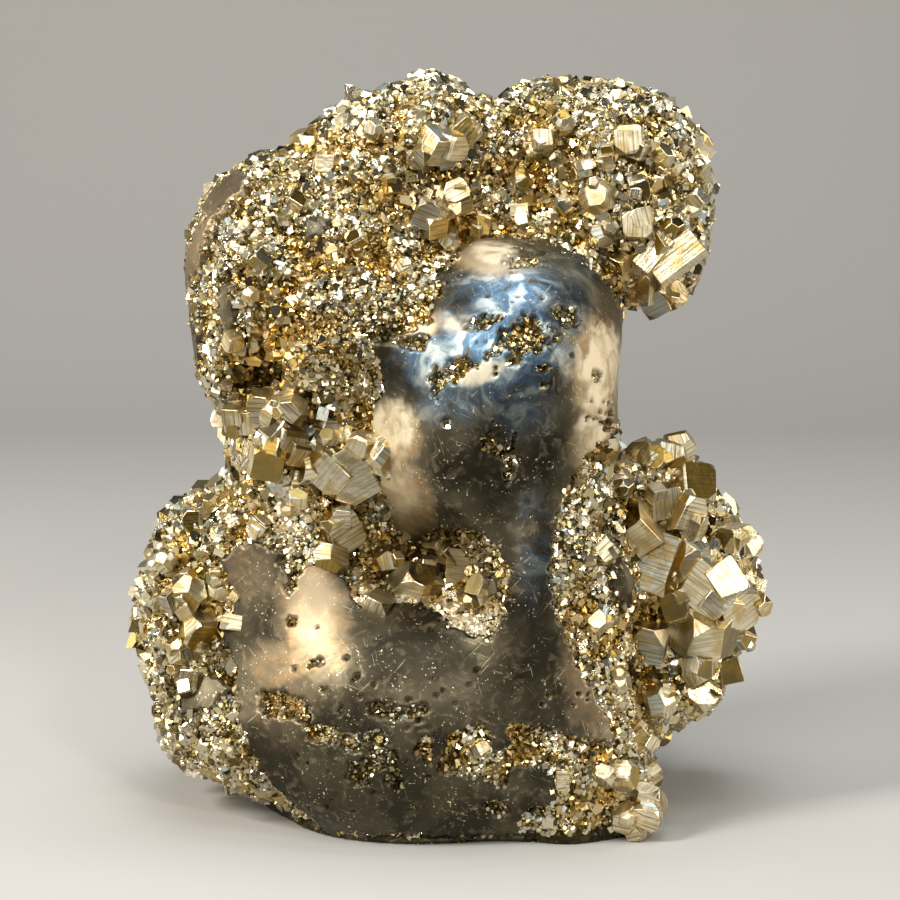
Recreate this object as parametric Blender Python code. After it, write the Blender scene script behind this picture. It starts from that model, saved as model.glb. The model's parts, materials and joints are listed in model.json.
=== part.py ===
"""A free-standing pyrite specimen: one grown mass with ground and polished flats, druse and larger crystals.

The mass is drawn in millimetres as overlapping lobes, melted into one body, hollowed, ground flat where it is
polished, roughened where it is druse, and set with crystals. The finished mesh is scaled to metres, with its
sawn foot on z = 0.
"""

from math import cos, pi, radians, sin

import bmesh
import bpy
import numpy as np
from mathutils import Euler, Matrix, Vector, noise
from mathutils.bvhtree import BVHTree

TO_METRES = 0.001
SEED = 16

# Grain of the solid, in millimetres
LOBE_FINENESS = 4
HOLLOW_FINENESS = 3
FORM_VOXEL = 1.8
FORM_SMOOTHING = 9
SKIN_VOXEL = 4.0
SKIN_SMOOTHING = 3

# Druse relief: height of a peak, and how much lower the druse bed lies than the polish
DRUSE_PEAK = (0.8, 2.3)
DRUSE_PEAK_SHARE = 0.68
DRUSE_STEP_IN = 1.0
DRUSE_JITTER = 1.1
PEAK_JITTER = 0.7
PIT_DEPTH = (1.0, 1.9)
PIT_MARGIN = 0.8
FOOT_BLOCK = 200.0

# Share of the sideways scatter that is taken out along the surface's own direction
JITTER_FLATTENING = 0.6

# The viewpoint that the front is laid out from: its distance, its tilt down and the height it looks at
EYE_DISTANCE = 420.0
EYE_TILT = radians(7.0)
EYE_AIM_HEIGHT = 46.4

# Lobes of the mass: centre (x, y, z), half sizes (x, y, z), and the tilt about y in degrees
LOBES = {
    "base_core": ((-2.6, 0.0, 13.5), (27.5, 29.0, 21.0), 0),
    "base_right": ((14.5, -6.0, 8.5), (11.5, 23.0, 16.0), 0),
    "base_left": ((-25.4, 2.0, 14.0), (15.4, 26.0, 13.2), -20),
    "left_shoulder": ((-32.5, 4.0, 27.5), (9.5, 23.0, 14.0), -8),
    "left_filling": ((-20.0, -2.0, 32.0), (12.0, 20.0, 12.0), 0),
    "face": ((-4.0, -14.0, 14.0), (23.5, 17.0, 18.5), 0),
    "column": ((9.0, -14.0, 32.0), (6.6, 16.0, 24.0), -4),
    "head": ((8.0, -10.0, 60.5), (15.0, 21.0, 14.0), -12),
    "head_left": ((0.8, -13.5, 49.0), (10.8, 16.5, 12.8), 0),
    "head_right": ((16.8, -11.0, 54.0), (7.0, 16.0, 11.0), 0),
    "right_ridge": ((17.6, -8.0, 27.5), (6.4, 18.0, 24.0), 4),
    "cluster_mid": ((32.0, 7.0, 27.5), (9.6, 20.0, 12.0), 0),
    "cluster_top": ((27.6, 7.0, 38.4), (8.2, 18.0, 8.5), -24),
    "cluster_low": ((29.4, 3.0, 17.6), (7.6, 17.0, 8.4), 20),
    "foot_right": ((23.8, -14.0, 2.8), (3.4, 10.0, 5.2), 0),
    "saddle": ((-13.0, -6.0, 63.5), (12.0, 20.0, 13.5), 25),
    "arch_left": ((-21.5, 2.0, 68.4), (13.2, 22.0, 17.0), 18),
    "arch_chin": ((-24.6, 0.0, 58.6), (9.2, 19.0, 9.0), 0),
    "arch_top": ((-8.0, 8.0, 80.8), (15.0, 22.0, 12.6), 30),
    "arch_crest": ((-1.2, 7.0, 87.6), (6.8, 17.0, 8.2), 10),
    "arch_right": ((20.5, 12.0, 79.5), (14.8, 21.0, 15.5), -10),
    "arch_shoulder": ((12.4, 10.0, 86.8), (6.4, 17.0, 8.6), 10),
    "arch_end": ((27.4, 8.0, 72.6), (7.0, 17.0, 9.0), 0),
    "back_bridge": ((2.5, 14.0, 73.0), (20.0, 20.0, 14.5), 0),
    "left_arm": ((-18.8, -1.0, 50.0), (10.4, 19.0, 14.0), 0),
    "core": ((0.0, 9.0, 45.0), (18.5, 23.0, 22.5), 0),
}

# Natural hollows of the mass, written the same way
HOLLOWS = {
    "cave_under_head": ((-2.4, -30.0, 32.0), (8.6, 12.0, 6.0), 0),
    "cave_left": ((-9.8, -27.0, 36.0), (4.6, 9.0, 7.5), 35),
    "chin_hollow": ((-23.0, -20.0, 56.6), (4.6, 8.0, 3.8), 20),
    "arch_crease": ((-2.0, -16.0, 82.5), (10.0, 7.5, 2.6), -12),
    "arch_notch": ((5.4, 4.0, 94.5), (2.6, 22.0, 5.0), 0),
    "face_groove": ((11.9, -33.5, 20.5), (1.5, 5.5, 15.0), -6),
    "right_gap": ((24.5, -13.0, 54.5), (5.0, 12.0, 6.0), 0),
}

# Ground flats: a point on the flat, the way it faces, and its reach; they fade out over the last third of it
FLAT_FADE = 3.0
FLATS = {
    "neck_left": ((-6.8, -22.5, 46.0), (-0.78, -0.62, 0.02), 15.0),
    "head_right": ((20.0, -21.1, 56.1), (0.70, -0.70, 0.10), 15.0),
    "head_brow": ((6.0, -24.5, 68.5), (-0.05, -0.62, 0.78), 15.0),
    "face_left": ((-22.0, -21.0, 26.0), (-0.62, -0.74, 0.26), 16.0),
    "face_front": ((-4.0, -30.3, 16.0), (0.0, -1.0, 0.02), 24.0),
    "back_crown": ((4.0, 29.0, 74.0), (0.05, 0.85, 0.50), 26.0),
    "back_foot": ((-4.0, 27.5, 18.0), (-0.05, 1.0, 0.05), 26.0),
}

# Outline of the polish on the front, as seen from the viewpoint: x and height on the plane through the
# middle. A face is of the front where its direction's y is below this.
FRONT_FACING = -0.05
POLISH_FRONT = [
    (2.6, 73.7), (6.5, 74.5), (12.4, 74.0), (16.9, 71.8), (20.2, 68.5), (22.4, 65.2), (23.6, 61.4),
    (23.4, 56.2), (22.9, 51.6), (21.1, 47.7), (18.2, 45.8), (16.6, 43.8), (15.3, 41.2), (13.8, 37.3),
    (13.3, 32.1), (13.4, 26.9), (15.3, 21.7), (16.9, 17.8), (19.5, 13.9), (22.4, 9.3), (20.8, 7.9),
    (15.6, 9.2), (10.4, 10.6), (3.9, 10.0), (-0.5, 9.2), (-1.3, 4.8), (5.2, 3.5), (9.1, 1.6), (9.1, -4.0),
    (-15.6, -4.0), (-19.5, -0.5), (-24.1, 3.5), (-26.7, 8.7), (-28.0, 13.9), (-28.3, 19.1), (-29.9, 22.4),
    (-27.9, 27.0), (-30.2, 32.0), (-27.6, 34.4), (-22.4, 33.6), (-21.0, 27.5), (-19.5, 30.8), (-15.6, 32.1),
    (-13.0, 28.2), (-11.0, 25.9), (-9.1, 27.1), (-3.9, 26.9), (0.6, 23.7), (5.2, 21.7), (7.2, 25.6),
    (7.5, 30.8), (5.9, 34.1), (2.6, 36.0), (-0.7, 36.3), (-4.6, 34.1), (-7.2, 36.0), (-8.7, 39.9),
    (-10.7, 47.7), (-9.8, 51.6), (-8.5, 54.2), (-9.8, 59.4), (-6.5, 61.4), (-2.6, 63.3), (-1.3, 67.2),
    (-3.3, 67.9), (0.0, 70.5),
]

# Pits left in the polish of the front: x, height, half width, half height and tilt in degrees
PITS = [
    (9.6, 71.0, 2.6, 1.9, 10), (4.2, 63.4, 2.8, 1.2, 20), (9.8, 60.8, 4.2, 2.8, 25),
    (15.6, 64.0, 2.4, 1.5, -10), (0.2, 56.2, 3.6, 3.0, 15), (7.8, 44.4, 1.4, 3.6, -12),
    (5.0, 47.4, 2.6, 1.2, -35), (20.6, 49.0, 1.6, 1.8, 0), (-21.6, 12.6, 4.0, 1.8, -5),
    (-14.8, 8.4, 3.0, 1.6, -25), (-9.8, 6.2, 3.2, 2.2, 10), (-6.0, 12.4, 3.6, 1.2, 0),
    (-17.6, 18.6, 1.6, 0.8, 20), (6.0, 5.6, 2.6, 1.6, 0),
]

# The back is polished where a slow noise is high: how squarely it faces back, the noise's scale, its place
# and the level it has to pass
BACK_FACING = 0.25
BACK_NOISE_SCALE = 0.045
BACK_NOISE_PLACE = Vector((3.0, 1.0, 7.0))
BACK_NOISE_LEVEL = -0.12

# Larger crystals of the front: x and height as seen from the viewpoint, width, habit, and for some the turn
# in degrees: tilt towards the viewer, roll in the picture, spin about the upright
FRONT_CRYSTALS = {
    "right_cluster": [
        (33.1, 22.3, 8.4, "block", (18, 0, 38)), (38.2, 26.6, 6.8, "block", (25, -30, 20)),
        (34.5, 28.5, 6.8, "cube", (10, 35, -15)), (31.2, 32.1, 5.4, "twelve", (0, 0, 30)),
        (26.7, 31.4, 8.4, "block", (-15, 20, -20)), (24.7, 36.0, 5.8, "cube", (30, -40, 0)),
        (31.2, 38.6, 5.2, "block", (0, 20, 40)), (28.3, 45.8, 5.2, "twelve", (20, 10, 0)),
        (24.7, 48.1, 5.0, "block"), (37.3, 35.1, 5.2, "block"), (33.3, 14.3, 4.0, "block"),
        (32.5, 42.3, 4.6, "cube"), (26.8, 21.4, 4.8, "block"),
    ],
    "foot": [(26.0, 0.8, 5.2, "twelve"), (23.4, -3.0, 3.8, "cube")],
    "cave": [
        (-4.5, 29.5, 6.5, "twelve", (10, 15, 20)), (-1.3, 33.7, 5.0, "block", (-20, 30, 30)),
        (1.3, 31.8, 5.5, "cube", (15, 4, -8)),
    ],
    "channel": [
        (-12.3, 42.8, 6.6, "cube", (5, -32, -10)), (-9.6, 45.8, 4.8, "block", (0, 40, 45)),
        (-13.7, 36.4, 5.6, "block", (20, -20, 30)), (-24.4, 52.2, 4.8, "twelve", (0, 0, 0)),
        (-25.0, 44.8, 4.8, "cube", (10, 12, 15)), (-17.9, 44.1, 4.2, "block"),
    ],
    "arch": [
        (-1.3, 86.0, 4.2, "block", (25, 20, 35)), (2.6, 88.3, 3.8, "block"),
        (-2.6, 77.0, 4.2, "block", (10, 25, 10)), (0.7, 78.5, 4.2, "block", (0, -20, 20)),
        (19.2, 79.3, 4.2, "twelve"), (24.7, 75.3, 4.2, "block"), (25.0, 66.6, 4.8, "block"),
        (30.4, 71.2, 6.0, "slab", (-20, -35, -15)), (23.4, 87.1, 3.8, "block"),
    ],
    "left_lobe": [(-32.5, 22.7, 5.0, "block", (15, 20, 30)), (-34.2, 27.6, 4.4, "twelve")],
}

# Crystals of the back and sides: how many, their widths, how far apart they stand, the lowest, and how far
# back their place has to face
OTHER_CRYSTALS = 16
OTHER_WIDTH = (3.0, 5.0)
OTHER_SPACING = 10.0
OTHER_LOWEST = 3.0
OTHER_FACING = 0.2

# How far a crystal's middle stands out of the surface beside its width, how unequal its sides are, how much
# its corners are cut, and the proportions of a slab
CRYSTAL_LIFT = -0.2
CRYSTAL_STRETCH = (0.85, 1.12)
CORNER_CUT = {"cube": (0.03, 0.28), "slab": (0.03, 0.2), "block": (0.15, 0.75)}
SLAB = Vector((1.3, 0.85, 0.7))
HABITS = ["cube", "block", "twelve"]
MERGE_ANGLE = radians(1.0)

# Corner reach of a twelve-faced pyrite crystal beside those of its cube
TWELVE_RISE = 1.5
TWELVE_FALL = 0.75
TWELVE_WIDTH = 1.25

PYRITE_COLOUR = (0.42, 0.34, 0.18, 1.0)
PYRITE_ROUGHNESS = 0.3


def front_ray(x, height):
    """Where a line of sight starts and which way it runs, for a place on the plane through the middle."""
    forward = Vector((0.0, cos(EYE_TILT), -sin(EYE_TILT)))
    up = Vector((0.0, sin(EYE_TILT), cos(EYE_TILT)))
    aim = Vector((0.0, 0.0, EYE_AIM_HEIGHT))
    eye = aim - forward * EYE_DISTANCE
    target = aim + Vector((x, 0.0, 0.0)) + up * (height - EYE_AIM_HEIGHT)
    return eye, (target - eye).normalized()


def front_place(point):
    """The place on the plane through the middle that hides or is hidden by this point."""
    forward = Vector((0.0, cos(EYE_TILT), -sin(EYE_TILT)))
    up = Vector((0.0, sin(EYE_TILT), cos(EYE_TILT)))
    aim = Vector((0.0, 0.0, EYE_AIM_HEIGHT))
    seen = Vector(point) - (aim - forward * EYE_DISTANCE)
    share = EYE_DISTANCE / seen.dot(forward)
    return seen.x * share, seen.dot(up) * share + EYE_AIM_HEIGHT


def ellipsoids(name, shapes, subdivisions):
    """One mesh of overlapping ellipsoids."""
    bm = bmesh.new()
    for centre, halves, tilt in shapes.values():
        place = (
            Matrix.Translation(centre)
            @ Matrix.Rotation(radians(-tilt), 4, "Y")
            @ Matrix.Diagonal((*halves, 1.0))
        )
        bmesh.ops.create_icosphere(bm, subdivisions=subdivisions, radius=1.0, matrix=place)
    mesh = bpy.data.meshes.new(name)
    bm.to_mesh(mesh)
    bm.free()
    return mesh


def add_object(name, mesh):
    """A mesh made an object of the scene."""
    obj = bpy.data.objects.new(name, mesh)
    bpy.context.scene.collection.objects.link(obj)
    return obj


def settle(obj, name):
    """The object's mesh with its modifiers applied; the object itself is cleared away."""
    graph = bpy.context.evaluated_depsgraph_get()
    mesh = bpy.data.meshes.new_from_object(obj.evaluated_get(graph), depsgraph=graph)
    mesh.name = name
    bpy.data.objects.remove(obj)
    return mesh


def melt(obj, voxel, smoothing):
    """Modifiers that join overlapping shapes into one body and round the joints."""
    remesh = obj.modifiers.new("melt", "REMESH")
    remesh.mode = "VOXEL"
    remesh.voxel_size = voxel
    smooth = obj.modifiers.new("soften", "SMOOTH")
    smooth.factor = 0.5
    smooth.iterations = smoothing


def combine(obj, other, operation):
    """A Boolean with another object, which takes no part in the build itself."""
    other.hide_render = True
    other.display_type = "WIRE"
    boolean = obj.modifiers.new(operation.lower(), "BOOLEAN")
    boolean.operation = operation
    boolean.solver = "EXACT"
    boolean.use_self = True
    boolean.object = other


def grind(mesh):
    """Presses what stands out past each ground flat back onto it."""
    points = np.empty(len(mesh.vertices) * 3)
    mesh.vertices.foreach_get("co", points)
    points = points.reshape(-1, 3)
    for centre, facing, reach in FLATS.values():
        facing = np.array(facing) / np.linalg.norm(facing)
        offset = points - np.array(centre)
        proud = offset @ facing
        aside = np.linalg.norm(offset - np.outer(proud, facing), axis=1)
        share = np.clip((1.0 - aside / reach) * FLAT_FADE, 0.0, 1.0)
        share = share * share * (3.0 - 2.0 * share)
        points -= np.outer(np.clip(proud, 0.0, None) * share, facing)
    mesh.vertices.foreach_set("co", points.ravel())
    mesh.update()


def inside(place, outline):
    """Whether a place lies within a closed outline."""
    x, y = place
    hits = False
    for (ax, ay), (bx, by) in zip(outline, outline[1:] + outline[:1]):
        if (ay > y) != (by > y) and x < (bx - ax) * (y - ay) / (by - ay) + ax:
            hits = not hits
    return hits


def surface_kind(point, normal):
    """What a spot of the surface is: polish, a pit in the polish, or druse."""
    place = front_place(point)
    if normal.y < FRONT_FACING:
        if not inside(place, POLISH_FRONT):
            return "druse"
        for x, height, half_width, half_height, tilt in PITS:
            turn = radians(tilt)
            across, along = place[0] - x, place[1] - height
            u = (across * cos(turn) + along * sin(turn)) / (half_width + PIT_MARGIN)
            v = (along * cos(turn) - across * sin(turn)) / (half_height + PIT_MARGIN)
            if u * u + v * v < 1.0:
                return "pit"
        return "polish"
    level = noise.noise(Vector(point) * BACK_NOISE_SCALE + BACK_NOISE_PLACE)
    if normal.y > BACK_FACING and level > BACK_NOISE_LEVEL:
        return "polish"
    return "druse"


def habit_points(habit, width, rng):
    """Corners of a crystal about its centre."""
    corners = [Vector((x, y, z)) for x in (-1, 1) for y in (-1, 1) for z in (-1, 1)]
    stretch = Vector(rng.uniform(*CRYSTAL_STRETCH, 3)) * (width / 2.0)
    points = []
    if habit == "twelve":
        for a in (-TWELVE_RISE, TWELVE_RISE):
            for b in (-TWELVE_FALL, TWELVE_FALL):
                points += [Vector((0, a, b)), Vector((a, b, 0)), Vector((b, 0, a))]
        return [point * stretch / TWELVE_WIDTH for point in corners + points]
    if habit == "slab":
        stretch = stretch * SLAB
    for corner in corners:
        cut = rng.uniform(*CORNER_CUT[habit])
        for axis in range(3):
            point = corner.copy()
            point[axis] *= 1.0 - cut
            points.append(point * stretch)
    return points


def add_crystal(bm, place, outward, crystal, number):
    """A crystal of a width, habit and turn, set into the surface at a place."""
    width, habit, *turn = crystal
    rng = np.random.default_rng((SEED, number))
    corners = habit_points(habit, width, rng)
    if turn:
        rotation = Euler([radians(angle) for angle in turn[0]], "ZYX").to_matrix()
    else:
        rotation = Euler(rng.uniform(0.0, pi, 3)).to_matrix()
    centre = place + outward * (width * CRYSTAL_LIFT)
    verts = [bm.verts.new(centre + rotation @ corner) for corner in corners]
    hull = bmesh.ops.convex_hull(bm, input=verts)
    loose = hull["geom_interior"] + hull["geom_unused"]
    loose = list({item for item in loose if isinstance(item, bmesh.types.BMVert)})
    bmesh.ops.delete(bm, geom=loose, context="VERTS")


def other_crystals(surface, rng):
    """Places, directions and kinds of the crystals that the front doesn't show."""
    faces = [face for face in surface.polygons if face.normal.y > OTHER_FACING]
    faces = [face for face in faces if face.center.z > OTHER_LOWEST]
    faces = [face for face in faces if surface_kind(face.center, face.normal) == "druse"]
    found = []
    for index in rng.permutation(len(faces)):
        centre = faces[index].center.copy()
        if all((centre - place).length > OTHER_SPACING for place, _, _ in found):
            kind = (rng.uniform(*OTHER_WIDTH), HABITS[rng.integers(3)])
            found.append((centre, faces[index].normal.copy(), kind))
        if len(found) == OTHER_CRYSTALS:
            break
    return found


def crystals_mesh(surface, rng):
    """All the larger crystals, each placed on the surface of the mass."""
    tree = BVHTree.FromPolygons([v.co for v in surface.vertices], [f.vertices for f in surface.polygons])
    found = []
    for x, height, *crystal in (entry for group in FRONT_CRYSTALS.values() for entry in group):
        eye, sight = front_ray(x, height)
        place, outward, _, _ = tree.ray_cast(eye, sight)
        if place is None:
            place, outward, _, _ = tree.find_nearest(eye + sight * EYE_DISTANCE)
        found.append((place, outward, crystal))
    bm = bmesh.new()
    for number, (place, outward, crystal) in enumerate(found + other_crystals(surface, rng)):
        add_crystal(bm, place, outward, crystal, number)
    bmesh.ops.dissolve_limit(bm, angle_limit=MERGE_ANGLE, verts=bm.verts[:], edges=bm.edges[:])
    mesh = bpy.data.meshes.new("crystals")
    bm.to_mesh(mesh)
    bm.free()
    return mesh


def roughen(mesh, rng):
    """Druse raised as small peaks, and pits sunk in the polish."""
    bm = bmesh.new()
    bm.from_mesh(mesh)
    bm.normal_update()
    kinds = {face: surface_kind(face.calc_center_median(), face.normal) for face in bm.faces}
    normals = {vert: vert.normal.copy() for vert in bm.verts}
    for vert in bm.verts:
        if all(kinds[face] == "druse" for face in vert.link_faces):
            aside = Vector(rng.uniform(-DRUSE_JITTER, DRUSE_JITTER, 3))
            aside -= normals[vert] * aside.dot(normals[vert]) * JITTER_FLATTENING
            vert.co += aside - normals[vert] * DRUSE_STEP_IN
    for kind, depth, way in (("druse", DRUSE_PEAK, 1.0), ("pit", PIT_DEPTH, -1.0)):
        faces = [face for face in bm.faces if kinds.get(face) == kind and rng.random() < DRUSE_PEAK_SHARE]
        peaks = bmesh.ops.poke(bm, faces=faces)["verts"]
        for peak in peaks:
            peak.co += peak.normal * (rng.uniform(*depth) * way)
            peak.co += Vector(rng.uniform(-PEAK_JITTER, PEAK_JITTER, 3))
    bm.to_mesh(mesh)
    bm.free()


def keep_outside(mesh):
    """Drops the small closed pockets left between crystals, so that one outer skin remains."""
    bm = bmesh.new()
    bm.from_mesh(mesh)
    bmesh.ops.triangulate(bm, faces=bm.faces[:])
    left = set(bm.faces)
    largest = []
    while left:
        shell = [left.pop()]
        for face in shell:
            for edge in face.edges:
                if len(edge.link_faces) != 2:
                    continue
                for other in edge.link_faces:
                    if other in left:
                        left.remove(other)
                        shell.append(other)
        if len(shell) > len(largest):
            largest = shell
    kept = set(largest)
    bmesh.ops.delete(bm, geom=[face for face in bm.faces if face not in kept], context="FACES")
    bm.to_mesh(mesh)
    bm.free()


def ground_mesh():
    """A block that fills everything below the sawn foot."""
    bm = bmesh.new()
    place = Matrix.Translation((0.0, 0.0, -FOOT_BLOCK / 2.0)) @ Matrix.Scale(FOOT_BLOCK, 4)
    bmesh.ops.create_cube(bm, size=1.0, matrix=place)
    mesh = bpy.data.meshes.new("ground")
    bm.to_mesh(mesh)
    bm.free()
    return mesh


def finish(mesh):
    """Centres the mass over the origin, scales it to metres and gives it its material."""
    corners = np.array([vert.co for vert in mesh.vertices])
    middle = (corners.min(axis=0) + corners.max(axis=0)) / 2.0
    mesh.transform(Matrix.Scale(TO_METRES, 4) @ Matrix.Translation((-middle[0], -middle[1], 0.0)))
    pyrite = bpy.data.materials.new("pyrite")
    pyrite.use_nodes = True
    shader = pyrite.node_tree.nodes["Principled BSDF"]
    shader.inputs["Base Color"].default_value = PYRITE_COLOUR
    shader.inputs["Metallic"].default_value = 1.0
    shader.inputs["Roughness"].default_value = PYRITE_ROUGHNESS
    mesh.materials.append(pyrite)


for old in list(bpy.data.objects):
    bpy.data.objects.remove(old)

lobes = add_object("lobes", ellipsoids("lobes", LOBES, LOBE_FINENESS))
lobes_join = lobes.modifiers.new("join", "REMESH")
lobes_join.mode = "VOXEL"
lobes_join.voxel_size = FORM_VOXEL
hollows = add_object("hollows", ellipsoids("hollows", HOLLOWS, HOLLOW_FINENESS))
combine(lobes, hollows, "DIFFERENCE")
melt(lobes, FORM_VOXEL, FORM_SMOOTHING)
mass = settle(lobes, "mass")
bpy.data.objects.remove(hollows)
grind(mass)

skin = add_object("skin", mass)
melt(skin, SKIN_VOXEL, SKIN_SMOOTHING)
rough = settle(skin, "rough")
roughen(rough, np.random.default_rng(SEED))

cluster = add_object("cluster", rough)
crystals = add_object("crystals", crystals_mesh(mass, np.random.default_rng(SEED)))
ground = add_object("ground", ground_mesh())
combine(cluster, crystals, "UNION")
combine(cluster, ground, "DIFFERENCE")
solid = settle(cluster, "pyrite_cluster")
bpy.data.objects.remove(crystals)
bpy.data.objects.remove(ground)
keep_outside(solid)
finish(solid)
add_object("pyrite_cluster", solid)
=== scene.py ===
import json
from itertools import combinations, product
from math import cos, pi, radians, sin

import bmesh
import bpy
import numpy as np
from mathutils import Euler, Matrix, Vector, noise
from mathutils.bvhtree import BVHTree

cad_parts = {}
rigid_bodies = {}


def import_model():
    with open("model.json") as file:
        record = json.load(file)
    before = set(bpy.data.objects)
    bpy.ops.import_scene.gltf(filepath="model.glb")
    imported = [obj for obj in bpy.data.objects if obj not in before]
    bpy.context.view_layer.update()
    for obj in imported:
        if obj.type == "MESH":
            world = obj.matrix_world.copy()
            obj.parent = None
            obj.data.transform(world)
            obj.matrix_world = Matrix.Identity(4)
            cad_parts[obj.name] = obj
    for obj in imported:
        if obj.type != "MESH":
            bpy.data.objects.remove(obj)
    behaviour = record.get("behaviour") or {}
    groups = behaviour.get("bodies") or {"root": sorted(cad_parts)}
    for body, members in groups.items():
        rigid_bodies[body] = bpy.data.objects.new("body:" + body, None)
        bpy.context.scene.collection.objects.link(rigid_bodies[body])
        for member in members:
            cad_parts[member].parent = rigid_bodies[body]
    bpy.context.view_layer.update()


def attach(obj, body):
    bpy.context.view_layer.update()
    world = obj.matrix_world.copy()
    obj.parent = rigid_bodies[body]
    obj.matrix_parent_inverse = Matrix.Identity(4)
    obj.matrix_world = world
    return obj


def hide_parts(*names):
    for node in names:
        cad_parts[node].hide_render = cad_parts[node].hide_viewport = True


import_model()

# All shapes are drawn in millimetres in the layout that the solid was drawn in, then moved to the frame
toMetres = 0.001
layoutShift = Vector((0.46, -0.72, 0.0))
toFrame = Matrix.Scale(toMetres, 4) @ Matrix.Translation(layoutShift)
shapeSeed = 16

view = {
    "distance": 420.0,  # from the eye to the plane through the middle
    "tilt": radians(7.0),
    "aimHeight": 46.4,
    "pictureWidth": 117.0,  # width of the picture at the middle plane
    "sensor": 36.0,
    "nearest": 0.01,
}
forward = Vector((0.0, cos(view["tilt"]), -sin(view["tilt"])))
upward = Vector((0.0, sin(view["tilt"]), cos(view["tilt"])))
aim = Vector((0.0, 0.0, view["aimHeight"]))
eye = aim - forward * view["distance"]


def frontRay(x, height):  # the line of sight to a place on the plane through the middle
    target = aim + Vector((x, 0.0, 0.0)) + upward * (height - view["aimHeight"])
    return eye, (target - eye).normalized()


def frontPlaces(points):  # where points appear on the plane through the middle
    seen = points - np.array(eye)
    share = view["distance"] / (seen @ np.array(forward))
    return np.stack([seen[:, 0] * share, seen @ np.array(upward) * share + view["aimHeight"]], axis=1)


def makeCamera():
    lens = bpy.data.cameras.new("camera")
    lens.sensor_width = view["sensor"]
    lens.lens = view["sensor"] * view["distance"] / view["pictureWidth"]
    lens.clip_start = view["nearest"]
    camera = bpy.data.objects.new("camera", lens)
    bpy.context.scene.collection.objects.link(camera)
    camera.location = toFrame @ eye
    camera.rotation_euler = (pi / 2 - view["tilt"], 0.0, 0.0)
    bpy.context.scene.camera = camera


makeCamera()
print("camera placed")

# Lobes of the mass: centre, half sizes, tilt about y in degrees
massForm = {
    "voxel": 1.8,
    "smoothing": 9,
    "skinVoxel": 1.22,
    "frontFairing": 40,
    "frontCuts": 3,
    "frontSmoothing": 8,
    "fine": (-1.6, 0.1, -1.5),  # past the polish, turn to the back and height, up to which the faces are fine
    "flatEdge": 3.0,  # how sharply the pressing ends at a flat's reach
    "lobes": {
        "baseCore": ((-2.6, 0.0, 13.5), (27.5, 29.0, 21.0), 0),
        "baseRight": ((14.5, -6.0, 8.5), (11.5, 23.0, 16.0), 0),
        "baseLeft": ((-25.4, 2.0, 14.0), (15.4, 26.0, 13.2), -20),
        "leftShoulder": ((-32.5, 4.0, 27.5), (9.5, 23.0, 14.0), -8),
        "leftFilling": ((-20.0, -2.0, 32.0), (12.0, 20.0, 12.0), 0),
        "face": ((-4.0, -14.0, 14.0), (23.5, 17.0, 18.5), 0),
        "column": ((9.0, -14.0, 32.0), (6.6, 16.0, 24.0), -4),
        "head": ((8.0, -10.0, 60.5), (15.0, 21.0, 14.0), -12),
        "headLeft": ((0.8, -13.5, 49.0), (10.8, 16.5, 12.8), 0),
        "headRight": ((16.8, -11.0, 54.0), (7.0, 16.0, 11.0), 0),
        "rightRidge": ((17.6, -8.0, 27.5), (6.4, 18.0, 24.0), 4),
        "clusterMid": ((32.0, 7.0, 27.5), (9.6, 20.0, 12.0), 0),
        "clusterTop": ((27.6, 7.0, 38.4), (8.2, 18.0, 8.5), -24),
        "clusterLow": ((29.4, 3.0, 17.6), (7.6, 17.0, 8.4), 20),
        "footRight": ((23.8, -14.0, 2.8), (3.4, 10.0, 5.2), 0),
        "saddle": ((-13.0, -6.0, 63.5), (12.0, 20.0, 13.5), 25),
        "archLeft": ((-21.5, 2.0, 68.4), (13.2, 22.0, 17.0), 18),
        "archChin": ((-24.6, 0.0, 58.6), (9.2, 19.0, 9.0), 0),
        "archTop": ((-8.0, 8.0, 80.8), (15.0, 22.0, 12.6), 30),
        "archCrest": ((-1.2, 7.0, 87.6), (6.8, 17.0, 8.2), 10),
        "archRight": ((20.5, 12.0, 79.5), (14.8, 21.0, 15.5), -10),
        "archShoulder": ((12.4, 10.0, 86.8), (6.4, 17.0, 8.6), 10),
        "archEnd": ((27.4, 8.0, 72.6), (7.0, 17.0, 9.0), 0),
        "backBridge": ((2.5, 14.0, 73.0), (20.0, 20.0, 14.5), 0),
        "leftArm": ((-18.8, -1.0, 50.0), (10.4, 19.0, 14.0), 0),
        "core": ((0.0, 9.0, 45.0), (18.5, 23.0, 22.5), 0),
    },
    "hollows": {
        "caveUnderHead": ((-2.4, -30.0, 32.0), (8.6, 12.0, 6.0), 0),
        "caveLeft": ((-9.8, -27.0, 36.0), (4.6, 9.0, 7.5), 35),
        "chinHollow": ((-23.0, -20.0, 56.6), (4.6, 8.0, 3.8), 20),
        "archCrease": ((-2.0, -16.0, 82.5), (10.0, 7.5, 2.6), -12),
        "archNotch": ((5.4, 4.0, 94.5), (2.6, 22.0, 5.0), 0),
        "faceGroove": ((11.9, -33.5, 20.5), (1.5, 5.5, 15.0), -6),
        "rightGap": ((24.5, -13.0, 54.5), (5.0, 12.0, 6.0), 0),
    },
    # Ground flats: a point on the flat, the way it faces, its reach
    "flats": {
        "neckLeft": ((-6.8, -22.5, 46.0), (-0.78, -0.62, 0.02), 15.0),
        "headRight": ((20.0, -21.1, 56.1), (0.70, -0.70, 0.10), 15.0),
        "headBrow": ((6.0, -24.5, 68.5), (-0.05, -0.62, 0.78), 15.0),
        "faceLeft": ((-22.0, -21.0, 26.0), (-0.62, -0.74, 0.26), 16.0),
        "faceFront": ((-4.0, -30.3, 16.0), (0.0, -1.0, 0.02), 24.0),
        "backCrown": ((4.0, 29.0, 74.0), (0.05, 0.85, 0.50), 26.0),
        "backFoot": ((-4.0, 27.5, 18.0), (-0.05, 1.0, 0.05), 26.0),
    },
}


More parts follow.
